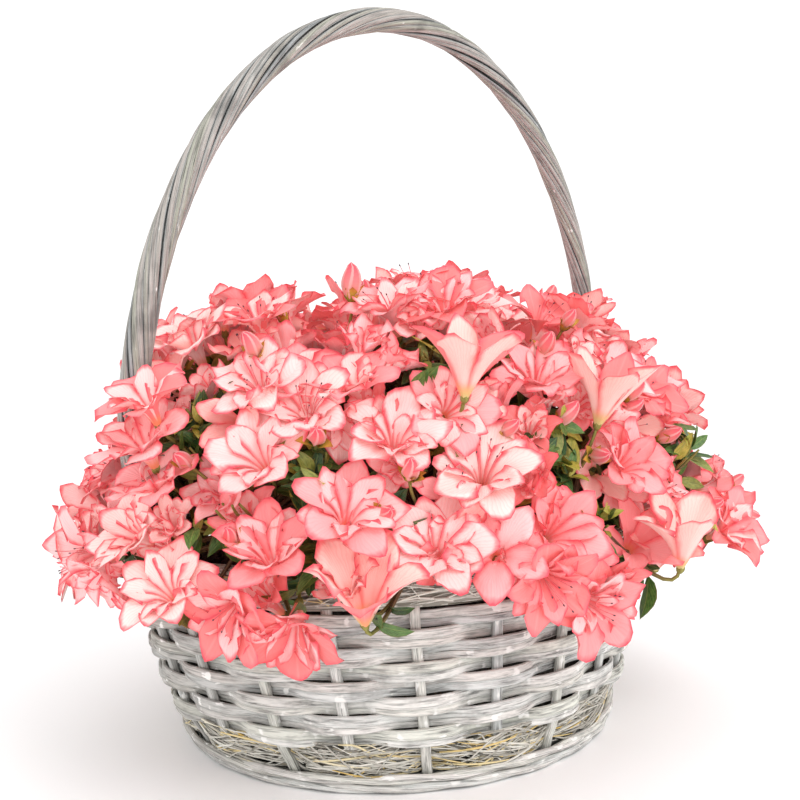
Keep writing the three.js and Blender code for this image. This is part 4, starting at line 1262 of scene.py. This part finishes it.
for mouth, axis, size, spin in fillers:
    axis = unit(axis + dice.normal(0, 0.28, 3))
    kind = "rosette" if dice.random() < 0.68 else "trumpet"
    mouth = mouth - axis * dice.uniform(4, 12)
    room = nearest([mouth], chosen)[0] > FILLER_ROOM and not in_clearing(mouth, 4)
    room &= mouth[2] > 127 or sprayed(np.arctan2(mouth[1], mouth[0]), 3) > 14
    if room and clear_of_basket(mouth) and clear_of_basket(mouth - axis * NECK_BEHIND):
        flowers.append((kind, mouth, axis, size * dice.uniform(0.8, 1.0), spin, dice.uniform(0.5, 0.9)))

# %% [markdown]
# ## Small moves
#
# The photographed crown isn't an even dome. Its top dips along three lines that run away
# from the camera, both ends are drawn in above the waist, and the lowest blooms a little to
# the camera's right stand higher, so the rim shows there. One smooth move of every mouth
# does all of it, so neighbours stay together.

# %% Settle the flowers
CAMERA_AWAY = 814.4
DIPS = ((-0.076, 0.036, 27.0), (0.108, 0.025, 26.0), (0.22, 0.018, 14.0))
CREST = (235, 290)
RIGHT_END = {"inward": 18, "from": 0.19, "to": 0.29}
LEFT_END = {"inward": 16, "from": -0.23, "to": -0.31}
ABOVE_WAIST = (172, 192)
RAISED = {"by": 22, "slant": 0.065, "width": 0.05, "full": 145, "none": 170}


def settle(points):
    """Moves points as the crown's unevenness asks. The slant is the distance to the right
    over the distance from the camera. A dip, like the raised middle, is its height times
    exp(-((slant - line) / width)^2); S-curves of slant and height limit the rest."""
    slant = points @ TO_RIGHT / (CAMERA_AWAY - points @ TO_CAMERA)
    z = points[:, 2]
    lower = sum(depth * np.exp(-((slant - line) / wide) ** 2) for line, wide, depth in DIPS)
    lower = lower * smooth(*CREST, z)
    inward = sum(sign * end["inward"] * smooth(end["from"], end["to"], slant)
                 for sign, end in ((1, RIGHT_END), (-1, LEFT_END)))
    inward = inward * smooth(*ABOVE_WAIST, z)
    raised = RAISED["by"] * np.exp(-((slant - RAISED["slant"]) / RAISED["width"]) ** 2)
    raised = raised * smooth(RAISED["none"], RAISED["full"], z)
    return points + UP * (raised - lower)[:, None] - TO_RIGHT * inward[:, None]


def square_to(axis):
    """Two directions square to each axis: side is the helper crossed with it."""
    helper = np.where(np.abs(axis[:, 2:]) < 0.9, UP, np.array([1.0, 0, 0]))
    side = unit(np.cross(helper, axis))
    return side, np.cross(axis, side)


kinds, mouths, axes, sizes, spins, openness = columns(flowers)
mouths = settle(mouths)
necks = mouths - axes * (NECK_BEHIND * sizes)[:, None]
sides, ups = square_to(axes)
print({str(kind): int((kinds == kind).sum()) for kind in np.unique(kinds)})

# %% [markdown]
# ## Whorls and their colours
#
# A show bloom has an outer whorl of coral lobes and an inner one of pale lobes, so coral
# shows between and behind the pale ones. The two sprays that hang over the front are
# deeper all through, the left end is paler, and the upright trumpets show the cream bands
# of a petal's outside.

# %% Which row of tiles each flower takes
COUNT = len(flowers)
HANGING = {"bearings": (214, 264), "half_width": 17, "below": 140}
PALE_END = {"left_of": -105, "below": 205}
bearing = np.degrees(np.arctan2(mouths[:, 1], mouths[:, 0])) % 360
in_spray = [np.abs(bearing - middle) < HANGING["half_width"] for middle in HANGING["bearings"]]
hanging = np.any(in_spray, axis=0) & (mouths[:, 2] < HANGING["below"])
left_end = (mouths @ TO_RIGHT < PALE_END["left_of"]) & (mouths[:, 2] < PALE_END["below"])
pale = dice.integers(0, 3, COUNT)
coral = dice.integers(3, 6, COUNT)
outside = dice.integers(6, 8, COUNT)
luck = dice.random(COUNT)
back_rows = np.select(
    [hanging, left_end & (luck < 0.75), kinds == "funnel", kinds == "trumpet", luck < 0.62],
    [4 + coral % 2, pale, 6, np.where(luck < 0.4, coral, outside), coral], pale)
front_rows = np.where(dice.random(COUNT) < 0.76, pale, coral)
front_rows = np.select([hanging, left_end], [2 + coral % 3, pale], front_rows)
large = np.isin(kinds, ("show", "main"))
rosette = kinds == "rosette"
doubled = large & ((dice.random(COUNT) < 0.72) | (kinds == "show"))
tripled = doubled & (dice.random(COUNT) < 0.5)
crumple = np.where(rosette, 2.0, 1.25)
flares = np.select([kinds == "funnel", kinds == "trumpet"], [23.0, 15.0], 10.0)

# %% Petals
FUNNEL = {"radius": 22, "depth": 24, "rise": 26, "bend": 0.6}
FRONT_BEARINGS = (180, 310)
TIER_HEIGHTS = (190, 285)


def before_a_flower(points, among, reach=19, own=-1):
    """Whether any of a shape's points pokes through one of those flowers: nearer to its axis
    than reach, less than the funnel's depth above its mouth, and above the funnel's wall,
    whose height over the mouth is rise * (distance / radius)^bend - depth, level past the
    radius. Each shape's own flower doesn't count."""
    blocked = np.zeros(len(points), dtype=bool)
    for n in np.flatnonzero(among):
        off = points - mouths[n]
        high = off @ axes[n]
        away = np.linalg.norm(off - high[..., None] * axes[n], axis=-1) / sizes[n]
        share = np.minimum(away / FUNNEL["radius"], 1)
        wall = FUNNEL["rise"] * share ** FUNNEL["bend"] - FUNNEL["depth"]
        inside = (away < reach) & (high < FUNNEL["depth"]) & (high > wall)
        blocked |= inside.any(axis=1) & (own != n)
    return blocked


def whorl(chosen, count, length, breadth, spread, turned, rows, seed):
    """One whorl on each chosen flower: count lobes at equal turns, turned by a share of the
    gap between two, without those that touch the basket or poke through another flower.
    Gives each lobe's flower, grid and map."""
    dice = np.random.default_rng(seed)
    who = np.repeat(np.flatnonzero(chosen), count)
    number = np.tile(np.arange(count), chosen.sum())
    phase = spins[who] + (number + turned) * 2 * np.pi / count + dice.normal(0, 0.06, len(who))
    frame_at = (necks[who] + axes[who] * 2.0 * turned, sides[who], ups[who], axes[who])
    grids = lobes(frame_at, phase, length * sizes[who], breadth, openness[who] * spread,
                  crumple[who], flares[who], dice)
    column = np.where(number == 0, dice.integers(0, 2, len(who)), dice.integers(2, TILES, len(who)))
    row = np.where(dice.random(len(who)) < 0.85, rows[who], np.maximum(rows[who] - 1, 0))
    u, v = tile_map(column, row, TILES, ACROSS, ALONG)
    keep = ~touches_basket(grids) & ~out_of_reach(grids)
    keep &= large[who] | (kinds[who] == "funnel") | ~before_a_flower(grids[:, 5::2, 3], large, own=who)
    return who[keep], grids[keep], u[keep], v[keep]


whorls = [
    whorl(large, 5, 44.0, 0.42, 1.02, 0.0, back_rows, 91),
    whorl(doubled, 5, 38.0, 0.35, 0.86, 0.5, front_rows, 92),
    whorl(tripled, 3, 27.0, 0.33, 0.6, 0.9, front_rows, 93),
    whorl(rosette, 5, 38.0, 0.42, 0.95, 0.0, back_rows, 94),
    whorl(rosette, 5, 32.0, 0.4, 0.72, 0.5, front_rows, 95),
    whorl(rosette, 4, 26.0, 0.38, 0.5, 0.8, front_rows, 96),
    whorl(kinds == "trumpet", 5, 43.0, 0.4, 0.86, 0.0, back_rows, 97),
    whorl(kinds == "funnel", 5, 52.0, 0.4, 1.0, 0.0, back_rows, 98)]
front_half = (bearing > FRONT_BEARINGS[0]) & (bearing < FRONT_BEARINGS[1])
tier = np.digitize(mouths[:, 2], TIER_HEIGHTS)
for number, name in enumerate(("skirt", "shoulder", "top")):
    solids = [n for n in NODES if n.startswith(f"foliage_{name}")]
    for side_name, half in (("front", front_half), ("back", ~front_half)):
        mine = (tier == number) & half
        parts = [grid_part(grids[mine[who]], u=u[mine[who]], v=v[mine[who]]) for who, grids, u, v in whorls]
        make_piece(f"petals_{name}_{side_name}", parts, petal_finish, solids, TILE_MAP)

# %% [markdown]
# ## Stamens
#
# Five slender stamens arch out of the throat of about half the open flowers, pink, with
# small dark tips. Each is a three-sided tube along a curve that leans to one side and
# turns up.

# %% Stamens
STAMENS = 5
THREAD_FAT = np.array([0.36, 0.34, 0.31, 0.29, 0.27, 0.25, 0.24])[:, None]
TIP_FAT = np.array([0.22, 0.46, 0.46, 0.2])[:, None]
LEANING_UP = UP + 0.013


def steps(rows):
    """Even steps from 0 to 1, one for each row of a grid."""
    return np.linspace(0, 1, rows)[:, None]


def towards(turn, side, up):
    """The direction at each turn: cos(turn) * side + sin(turn) * up."""
    return np.cos(turn)[:, None] * side + np.sin(turn)[:, None] * up


dice = np.random.default_rng(99)
bearers = np.flatnonzero((large | (kinds == "trumpet")) & (dice.random(COUNT) < 0.45))
who = np.repeat(bearers, STAMENS)
number = np.tile(np.arange(STAMENS), len(bearers))
turn = spins[who] + number * 2 * np.pi / STAMENS + dice.normal(0, 0.3, len(who))
spoke = towards(turn, sides[who], ups[who])
lean = towards(spins[who], sides[who], ups[who])
t = steps(len(THREAD_FAT))
reach = dice.uniform(19, 30, (len(who), 1, 1)) * sizes[who][:, None, None]
path = (necks[who][:, None] + axes[who][:, None] * (5 + reach * t)
        + spoke[:, None] * (1.2 + 6.0 * t ** 1.6) + lean[:, None] * (7.0 * t ** 2))
threads = round_tube(path, THREAD_FAT, 3, LEANING_UP)
thread_part = grid_part(threads, True, True, u=np.linspace(0, 0.4, 4), v=0.02 + 0.82 * t)
heading = unit(path[:, -1] - path[:, -2])
tip_path = path[:, -1:] + heading[:, None] * np.linspace(-0.3, 1.3, len(TIP_FAT))[:, None]
tips = round_tube(tip_path, TIP_FAT, 4, LEANING_UP)
tip_part = grid_part(tips, True, True, u=np.linspace(0.5, 0.9, 5), v=np.linspace(0.95, 0.99, len(TIP_FAT)))
make_piece("stamens", [thread_part, tip_part], stamen_finish, (), TILE_MAP)

# %% [markdown]
# ## Stem, boughs and twigs
#
# Below the flowers a short stem forks at a knob into eighteen boughs, and each mass of
# foliage has a stem of its own on which the flowering twigs spring. A limb is a tube whose
# radius tapers and is cut by lengthwise ridges, which is the relief of its bark.

# %% Masses and their hearts
# A tier is its place on the crown's profile, its bearings, how far along the way to a heart
# the boughs end, and how deep the hearts lie.
TIERS = ((88, (20, 55, 90, 126, 162, 207, 241, 273, 306, 342), 0.6, 27),
         (44, (22, 66, 112, 157, 203, 248, 292, 337), 0.55, 62),
         (5, (75, 195, 315), 0.0, 66))
HEART_ABOVE_RIM = 16
fork = np.array([0, 0, STEM["fork"]])
masses = []
for place, bearings, entry, depth in TIERS:
    for mass_bearing in bearings:
        focus = crown_point(place, mass_bearing * DEGREE)
        heart = focus - crown_normal(place, mass_bearing * DEGREE) * depth
        heart[2] = max(heart[2], WALL["height"] + HEART_ABOVE_RIM)
        bough_length = max(STEM["knob"], np.linalg.norm(heart - fork) * entry)
        masses.append((focus, heart, fork + unit(heart - fork) * bough_length, entry > 0))
foci, hearts, entries, has_bough = columns(masses)


def home_of(points):
    """The mass whose focus is nearest to each point."""
    return np.argmin(np.linalg.norm(points[:, None] - foci[None], axis=-1), axis=1)


def on_mass_stem(home, share):
    """A place on each mass's own stem, so far along from its bough's end to its heart."""
    return entries[home] + (hearts - entries)[home] * share


home = home_of(mouths)
rank = np.array([np.mean(mouths[home == home[i], 2] < mouths[i, 2]) for i in range(COUNT)])
roots = on_mass_stem(home, (0.92 - 0.45 * rank ** 2)[:, None])


# %% Limbs
TWIG_ROWS = 9
BARK_LEAN = UP + 0.017


def limbs(path, first, last, sides, ridge, seed, tone):
    """Tubes with bark relief: the radius runs from first to last and is multiplied by
    1 + ridge * noise, with the noise stretched along the limb."""
    rows = path.shape[1]
    t = steps(rows)
    cx, cy = outline(sides)
    walk = np.stack(np.broadcast_arrays(cx * 3.0, cy * 3.0, t * rows * 0.35), -1)
    walk = walk + path[:, :1, None] * 0.31
    fat = (first + (last - first) * t) * (1 + ridge * soft_noise(walk, 1.0, seed))
    body = sweep(path, BARK_LEAN, cx * fat, cy * fat)
    length = np.linalg.norm(path[:, -1] - path[:, 0], axis=-1)[:, None, None] * MM
    return grid_part(body, True, True, u=np.arange(sides + 1) * 2 * np.pi * 0.003 / sides,
                     v=length * t + path[:, :1, :1] * MM, tone=tone)


def curve(t, start, middle, end):
    """(1-t)^2 start + 2t(1-t) middle + t^2 end."""
    return (1 - t) ** 2 * start + 2 * t * (1 - t) * middle + t ** 2 * end


def bent(start, middle, end, rows):
    """Paths along that curve."""
    return curve(steps(rows), start[:, None], middle[:, None], end[:, None])


def behind(tips, directions, starts, share):
    """A twig's middle point: straight behind its tip by a share of its whole reach."""
    return tips - directions * (share * np.linalg.norm(tips - starts, axis=-1))[:, None]


from_knob = fork + unit(hearts - fork) * (STEM["knob"] - 3)
bough_path = bent(from_knob[has_bough], ((from_knob + entries) / 2 + UP * 2)[has_bough],
                  entries[has_bough], 14)
bough_part = limbs(bough_path, 3.5, 2.5, 10, 0.3, 101, 0.1)
stem_start = np.where(has_bough[:, None], entries, from_knob)
mass_path = bent(stem_start, (stem_start + hearts) / 2, hearts, 12)
mass_part = limbs(mass_path, 2.6, 2.0, 8, 0.3, 102, 0.2)
bough_nodes = [n for n in NODES if n.startswith("bough_")]
make_piece("boughs", [bough_part, mass_part], bark_finish, bough_nodes)

STEM_PROFILE = ((127.6, 14.0), (128.0, 16.6), (131.0, 13.2), (135.0, 11.2), (139.0, 10.4), (144.0, 10.6),
                (147.5, 11.8), (152.0, 13.8), (158.0, 14.9), (163.5, 14.0), (168.0, 11.2), (171.5, 6.4),
                (172.6, 1.5))
STEM_SIDES = 28
stem_z, stem_radius = np.array(STEM_PROFILE).T[..., None]
cx, cy = outline(STEM_SIDES)
walk = np.stack(np.broadcast_arrays(cx * 4, cy * 4, stem_z * 0.08), -1)
ridged = stem_radius * (1 + 0.2 * soft_noise(walk, 1.0, 103) + 0.08 * soft_noise(walk * 2.3, 1.0, 104))
stem = sweep((stem_z * UP)[None], -HOOP_NORMAL, cx * ridged, cy * ridged)
stem_part = grid_part(stem, True, True, u=np.arange(STEM_SIDES + 1) * 0.0024, v=stem_z * MM, tone=0.0)
make_piece("stem", [stem_part], bark_finish, ["short_stem"])

# %% Twigs and calyxes
CALYX_FAT = np.array([1.3, 2.5, 2.9, 2.6])[:, None]
twig_bend = behind(necks, axes, roots, 0.38)
twig_path = bent(roots, twig_bend, necks + axes * 1.0, TWIG_ROWS)
twig_part = limbs(twig_path, 1.5, 1.15, 6, 0.22, 105, 0.25 + 0.7 * steps(TWIG_ROWS))
calyx_t = steps(len(CALYX_FAT))
calyx_path = necks[:, None] + axes[:, None] * (-3.0 + 5.2 * calyx_t)
calyx = round_tube(calyx_path, CALYX_FAT * sizes[:, None, None], 5, BARK_LEAN)
calyx_part = grid_part(calyx, True, True, u=np.linspace(0, 0.02, 6), v=0.01 * calyx_t, tone=1.0)
make_piece("twigs", [twig_part, calyx_part], bark_finish)

# %% [markdown]
# ## Leaves
#
# Small leaves stand round each twig under its flower and fill the inside of the crown with
# green. A leaf is a grid with a pointed-oval outline, folded along its rib and arched back.
# Most are dark, some olive, a few yellow-green.

# %% A leaf's blade
LEAF_ROWS, LEAF_COLS = 7, 5
LEAF_ACROSS = np.linspace(1, -1, LEAF_COLS)
LEAF_ALONG = steps(LEAF_ROWS)
LEAF_TURN = 137.5


def leaf_grids(root, direction, normal, length, width, dice):
    """Half width is width * sin(pi * t^0.85)^0.8; the halves rise from the rib by fold, and
    the blade drops with the square of t."""
    each = (len(root), 1, 1)
    t = LEAF_ALONG
    length = length[:, None, None]
    half = width[:, None, None] / 2 * (np.sin(np.pi * t ** 0.85) ** 0.8 * 0.97 + 0.03)
    fold = dice.uniform(0.12, 0.5, each)
    arch = dice.uniform(-0.05, 0.42, each) * length
    wave = dice.uniform(0, 0.9, each) * np.sin(t * 9 + dice.uniform(0, 6, each)) * LEAF_ACROSS
    out = half * LEAF_ACROSS
    rise = np.abs(out) * fold - arch * t ** 2 + wave
    along = length * t * (1 - 0.12 * t * arch / length)
    return placed(root, (along, direction), (out, np.cross(normal, direction)), (rise, normal))


def squared(vectors, directions):
    """What each vector has square to its direction, at length 1."""
    return unit(vectors - directions * np.sum(vectors * directions, axis=1, keepdims=True))


# %% [markdown]
# ## Leafy shoots
#
# Every flowering twig has four leaves below its flower. The clearings and the widest gaps
# between flowers get shoots without a flower, which end in a whorl of nine leaves just under
# the crown's surface; these are the lighter, yellow-green ones.

# %% Shoots in the clearings and gaps
GAP_PLACES = 420
GAP_SHOOTS = 70
SHOOTS_PER_CLEARING = 8
SHOOT_BEHIND = 26
dice = np.random.default_rng(111)
gaps = golden_blooms(GAP_PLACES, 2.4, seeded_stream(4242), 8.0)
gaps = [gap for gap in gaps if clear_of_basket(gap[0]) and clear_of_basket(gap[0] - gap[1] * SHOOT_BEHIND)]
gap_mouths, gap_axes, gap_sizes, _ = columns(gaps)
gap_mouths = settle(gap_mouths)
widest = np.argsort(-nearest(gap_mouths, mouths))
gaps = list(zip(gap_mouths[widest], gap_axes[widest], gap_sizes[widest]))
shoots = []
for middle, (place, turn, radius) in zip(clear_middles, CLEARINGS):
    normal = crown_normal(place, turn * DEGREE)
    for _ in range(SHOOTS_PER_CLEARING):
        sideways = unit(np.cross(normal, dice.normal(0, 1, 3)))
        tip = middle + sideways * radius * np.sqrt(dice.random()) - normal * dice.uniform(8, 26)
        shoots.append((tip, unit(normal + UP * 0.35 + dice.normal(0, 0.3, 3))))
for mouth, axis, _ in gaps[:GAP_SHOOTS]:
    tip = mouth - axis * dice.uniform(15, SHOOT_BEHIND)
    shoots.append((tip, unit(axis + dice.normal(0, 0.2, 3))))
shoot_tips, shoot_axes = columns(shoots)
shoot_roots = on_mass_stem(home_of(shoot_tips), 0.82)
shoot_bend = behind(shoot_tips, shoot_axes, shoot_roots, 0.4)
shoot_path = bent(shoot_roots, shoot_bend, shoot_tips, TWIG_ROWS)
shoot_part = limbs(shoot_path, 1.5, 0.8, 5, 0.2, 107, 0.25 + 0.75 * steps(TWIG_ROWS))

# %% Leaves on the twigs and on the shoots
PER_TWIG, PER_SHOOT = 4, 9
on_twig = np.repeat(np.arange(COUNT), PER_TWIG)
twig_number = np.tile(np.arange(PER_TWIG), COUNT)
t = (0.45 + 0.4 * (twig_number + dice.random(len(on_twig))) / PER_TWIG)[:, None]
twig_leaf = curve(t, roots[on_twig], twig_bend[on_twig], necks[on_twig])
on_shoot = np.repeat(np.arange(len(shoots)), PER_SHOOT)
shoot_number = np.tile(np.arange(PER_SHOOT), len(shoots))
shoot_leaf = shoot_tips[on_shoot] - shoot_axes[on_shoot] * (shoot_number * 1.3)[:, None]
leaf_root = np.concatenate([twig_leaf, shoot_leaf])
shoot = np.concatenate([unit(necks - roots)[on_twig], shoot_axes[on_shoot]])
number = np.concatenate([twig_number, shoot_number])
radial = towards(number * LEAF_TURN * DEGREE + leaf_root[:, 0], *square_to(shoot))
at_tip = np.concatenate([np.zeros(len(on_twig)), 1 - shoot_number / PER_SHOOT])
upward = dice.uniform(0.1, 0.6, (len(number), 1)) + 0.9 * at_tip[:, None]
direction = unit(shoot * upward + radial)
normal = squared(shoot, direction)
shoot_length = dice.uniform(17, 33, len(number)) * (1.1 - 0.4 * at_tip)
twig_length = dice.uniform(20, 34, len(number))
length = np.where(at_tip > 0, shoot_length, twig_length)
row = np.searchsorted([0.4, 0.74, 0.92], dice.random(len(number)) + 0.3 * at_tip)
leaf_points = leaf_root[:, None] + direction[:, None] * (length[:, None] * np.linspace(0, 1, 6))[..., None]
bare = (kinds == "funnel") & (necks[:, 2] < 175)
on_bare = np.concatenate([bare[on_twig], np.zeros(len(on_shoot), dtype=bool)])
shown = ~before_a_flower(leaf_points, np.ones(COUNT, dtype=bool), 24) & ~on_bare
leaf_root, direction, normal, length, row = (x[shown] for x in (leaf_root, direction, normal, length, row))
width = length * dice.uniform(0.36, 0.46, len(length))
leaves = leaf_grids(leaf_root, direction, normal, length, width, dice)
u, v = tile_map(dice.integers(0, LEAF_TILES, len(leaves)), row, LEAF_TILES, LEAF_ACROSS, LEAF_ALONG)
make_piece("leaves", [grid_part(leaves, u=u, v=v)], leaf_finish, (), TILE_MAP)
make_piece("leafy_shoots", [shoot_part], bark_finish)

# %% [markdown]
# ## Buds
#
# Pointed coral buds stand between the flowers, each in a cup of ochre scales. A bud is a
# spindle with five spiral furrows, where its rolled lobes overlap.

# %% Buds
BUDS = ((24, 220, 1.35), (80, 189, 1.1), (66, 223, 1.0), (90, 184, 1.0), (84, 236, 1.0), (74, 285, 1.0),
        (88, 296, 1.0))
GAP_BUDS = slice(20, 90)
MOST_BUDS = 36
BUD_ROWS = 11
dice = np.random.default_rng(121)
bud_places = []
for place, turn, size in BUDS:
    normal = crown_normal(place, turn * DEGREE)
    axis = unit(normal + UP * 0.8 + dice.normal(0, 0.15, 3))
    bud_places.append((crown_point(place, turn * DEGREE) + axis * 8, axis, size))
bud_places += [(mouth + axis * 2, axis, size) for mouth, axis, size in gaps[GAP_BUDS]]
bud_mouth, bud_axis, bud_size = columns(bud_places)
bud_size = bud_size * dice.uniform(0.75, 0.95, len(bud_places))
along_bud = bud_mouth[:, None] + bud_axis[:, None] * np.linspace(-18, 8, 6)[:, None]
free = np.flatnonzero(~before_a_flower(along_bud, large, 15))[:MOST_BUDS]
bud_mouth, bud_axis, bud_size = (x[free] for x in (bud_mouth, bud_axis, bud_size))
bud_foot = bud_mouth - bud_axis * (15 * bud_size)[:, None]
t = steps(BUD_ROWS)
bud_path = bud_foot[:, None] + bud_axis[:, None] * (t * 22.5 * bud_size[:, None, None])
cx, cy = outline(2 * BUD_FURROWS)
furrow = np.tile([1.0, 0.74], BUD_FURROWS)
swell = (np.sin(np.pi * t ** 0.92) ** 0.6 * 5.9 + 0.25) * bud_size[:, None, None] * furrow
angle = np.arctan2(cy, cx) + 1.1 * t
buds = sweep(bud_path, LEANING_UP, np.cos(angle) * swell, np.sin(angle) * swell)
bud_part = grid_part(buds, True, True, u=np.linspace(0, BUD_SPREAD, 2 * BUD_FURROWS + 1),
                     v=np.linspace(0.02, 0.98, BUD_ROWS))
print("buds:", len(buds))
make_piece("flower_buds", [bud_part], bud_finish, (), TILE_MAP)

# %% Bud scales and twigs
SCALES = 6
who = np.repeat(np.arange(len(buds)), SCALES)
number = np.tile(np.arange(SCALES), len(buds))
radial = towards(number * LEAF_TURN * DEGREE, *square_to(bud_axis[who]))
direction = unit(bud_axis[who] + radial * dice.uniform(0.15, 0.55, (len(who), 1)))
scale_root = bud_foot[who] + radial * 1.2 - bud_axis[who] * 2
length = dice.uniform(8, 15, len(who))
scales = leaf_grids(scale_root, direction, -squared(radial, direction), length, length * 0.5, dice)
scale_part = grid_part(scales, u=np.linspace(0.1, 0.9, LEAF_COLS), v=np.linspace(0.02, 0.98, LEAF_ROWS))
bud_root = on_mass_stem(home_of(bud_mouth), 0.8)
bud_path = bent(bud_root, behind(bud_foot, bud_axis, bud_root, 0.4), bud_foot + bud_axis, TWIG_ROWS)
bud_twigs = limbs(bud_path, 1.2, 1.0, 5, 0.2, 106, 0.3 + 0.7 * steps(TWIG_ROWS))
make_piece("bud_scales", [scale_part], scale_finish, (), TILE_MAP)
make_piece("bud_twigs", [bud_twigs], bark_finish)

# %% [markdown]
# ## Studio
#
# A plain pale floor, an even white surround, one large soft light from above the camera's
# right and a weak one from its left. The camera stands where the photograph's perspective
# puts it, a little above the rim, turned 40 degrees from the basket's broad side.

# %% Floor, light and camera
FLOOR_COLUMNS = 96
AZIMUTH = -40 * DEGREE
ELEVATION = 4.68 * DEGREE
ROLL = -0.75 * DEGREE
TARGET_Z = 0.2316
FOCAL_PIXELS, FRAME_PIXELS, SHIFT_PIXELS = 1107.5, 800, -2.0


def studio_floor():
    """A wide disc of pale floor, with a faint unevenness in its paint."""
    material, tree, shader = new_material("studio_floor", 0.9, Specular_IOR_Level=0.1)
    cloud = speckle(tree, object_place(tree), 3, 2)
    paint = ramp(tree, cloud, (0.3, (0.955, 0.955, 0.955)), (0.7, (0.98, 0.98, 0.98)))
    plug(tree, shader.inputs["Base Color"], paint)
    turn = np.linspace(0, 2 * np.pi, FLOOR_COLUMNS, endpoint=False)
    radius = np.array([0.001, 1.5, 9.0])[:, None]
    points = np.stack(np.broadcast_arrays(radius * np.cos(turn), radius * np.sin(turn), 0.0), -1)
    mesh = bpy.data.meshes.new("floor")
    part = grid_part(points[None, ::-1], True)
    mesh.from_pydata(part["points"].tolist(), [], part["faces"][0].tolist())
    mesh.materials.append(material)
    floor = bpy.data.objects.new("floor", mesh)
    bpy.context.scene.collection.objects.link(floor)


def matrix_of(x, y, z, place):
    """A 4 x 4 matrix from three directions and a place."""
    rows = np.eye(4)
    rows[:3] = np.stack([x, y, z, place], axis=1)
    return mathutils.Matrix(rows.tolist())


def soft_light(name, place, target, size, power):
    """A square area light that looks at a point."""
    data = bpy.data.lights.new(name, "AREA")
    data.size = size
    data.energy = power
    lamp = bpy.data.objects.new(name, data)
    bpy.context.scene.collection.objects.link(lamp)
    z = unit(np.array(place) - np.array(target))
    x = unit(np.cross(UP, z))
    lamp.matrix_world = matrix_of(x, np.cross(z, x), z, place)


studio_floor()
level = np.array([np.sin(AZIMUTH), -np.cos(AZIMUTH), 0.0])
back = level * np.cos(ELEVATION) + UP * np.sin(ELEVATION)
right = unit(np.cross(-back, UP))
above = np.cross(right, -back)
camera_place = UP * TARGET_Z + back * CAMERA_AWAY * MM
rolled_right = np.cos(ROLL) * right + np.sin(ROLL) * above
rolled_above = np.cos(ROLL) * above - np.sin(ROLL) * right
soft_light("key", camera_place + rolled_right * 0.9 + UP * 1.1 + back * 0.3, (0, 0, 0.2), 1.0, 11)
soft_light("fill", camera_place - rolled_right * 1.2 + UP * 0.3, (0, 0, 0.2), 1.2, 2)

camera_data = bpy.data.cameras.new("camera")
camera_data.lens = FOCAL_PIXELS / FRAME_PIXELS * camera_data.sensor_width
camera_data.shift_x = -SHIFT_PIXELS / FRAME_PIXELS
camera = bpy.data.objects.new("camera", camera_data)
camera.matrix_world = matrix_of(rolled_right, rolled_above, back, camera_place)
bpy.context.scene.collection.objects.link(camera)
bpy.context.scene.camera = camera

world = bpy.data.worlds.new("white_surround")
world.use_nodes = True
world.node_tree.nodes["Background"].inputs["Color"].default_value = (1, 1, 1, 1)
world.node_tree.nodes["Background"].inputs["Strength"].default_value = 1.15
bpy.context.scene.world = world
bpy.context.scene.view_settings.view_transform = "Standard"

# %% Sizes, and finish
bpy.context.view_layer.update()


def as_lists(box):
    """A box as plain lists of numbers."""
    return [[float(x) for x in corner] for corner in box]


print("box of the frame:", as_lists(cad_box))
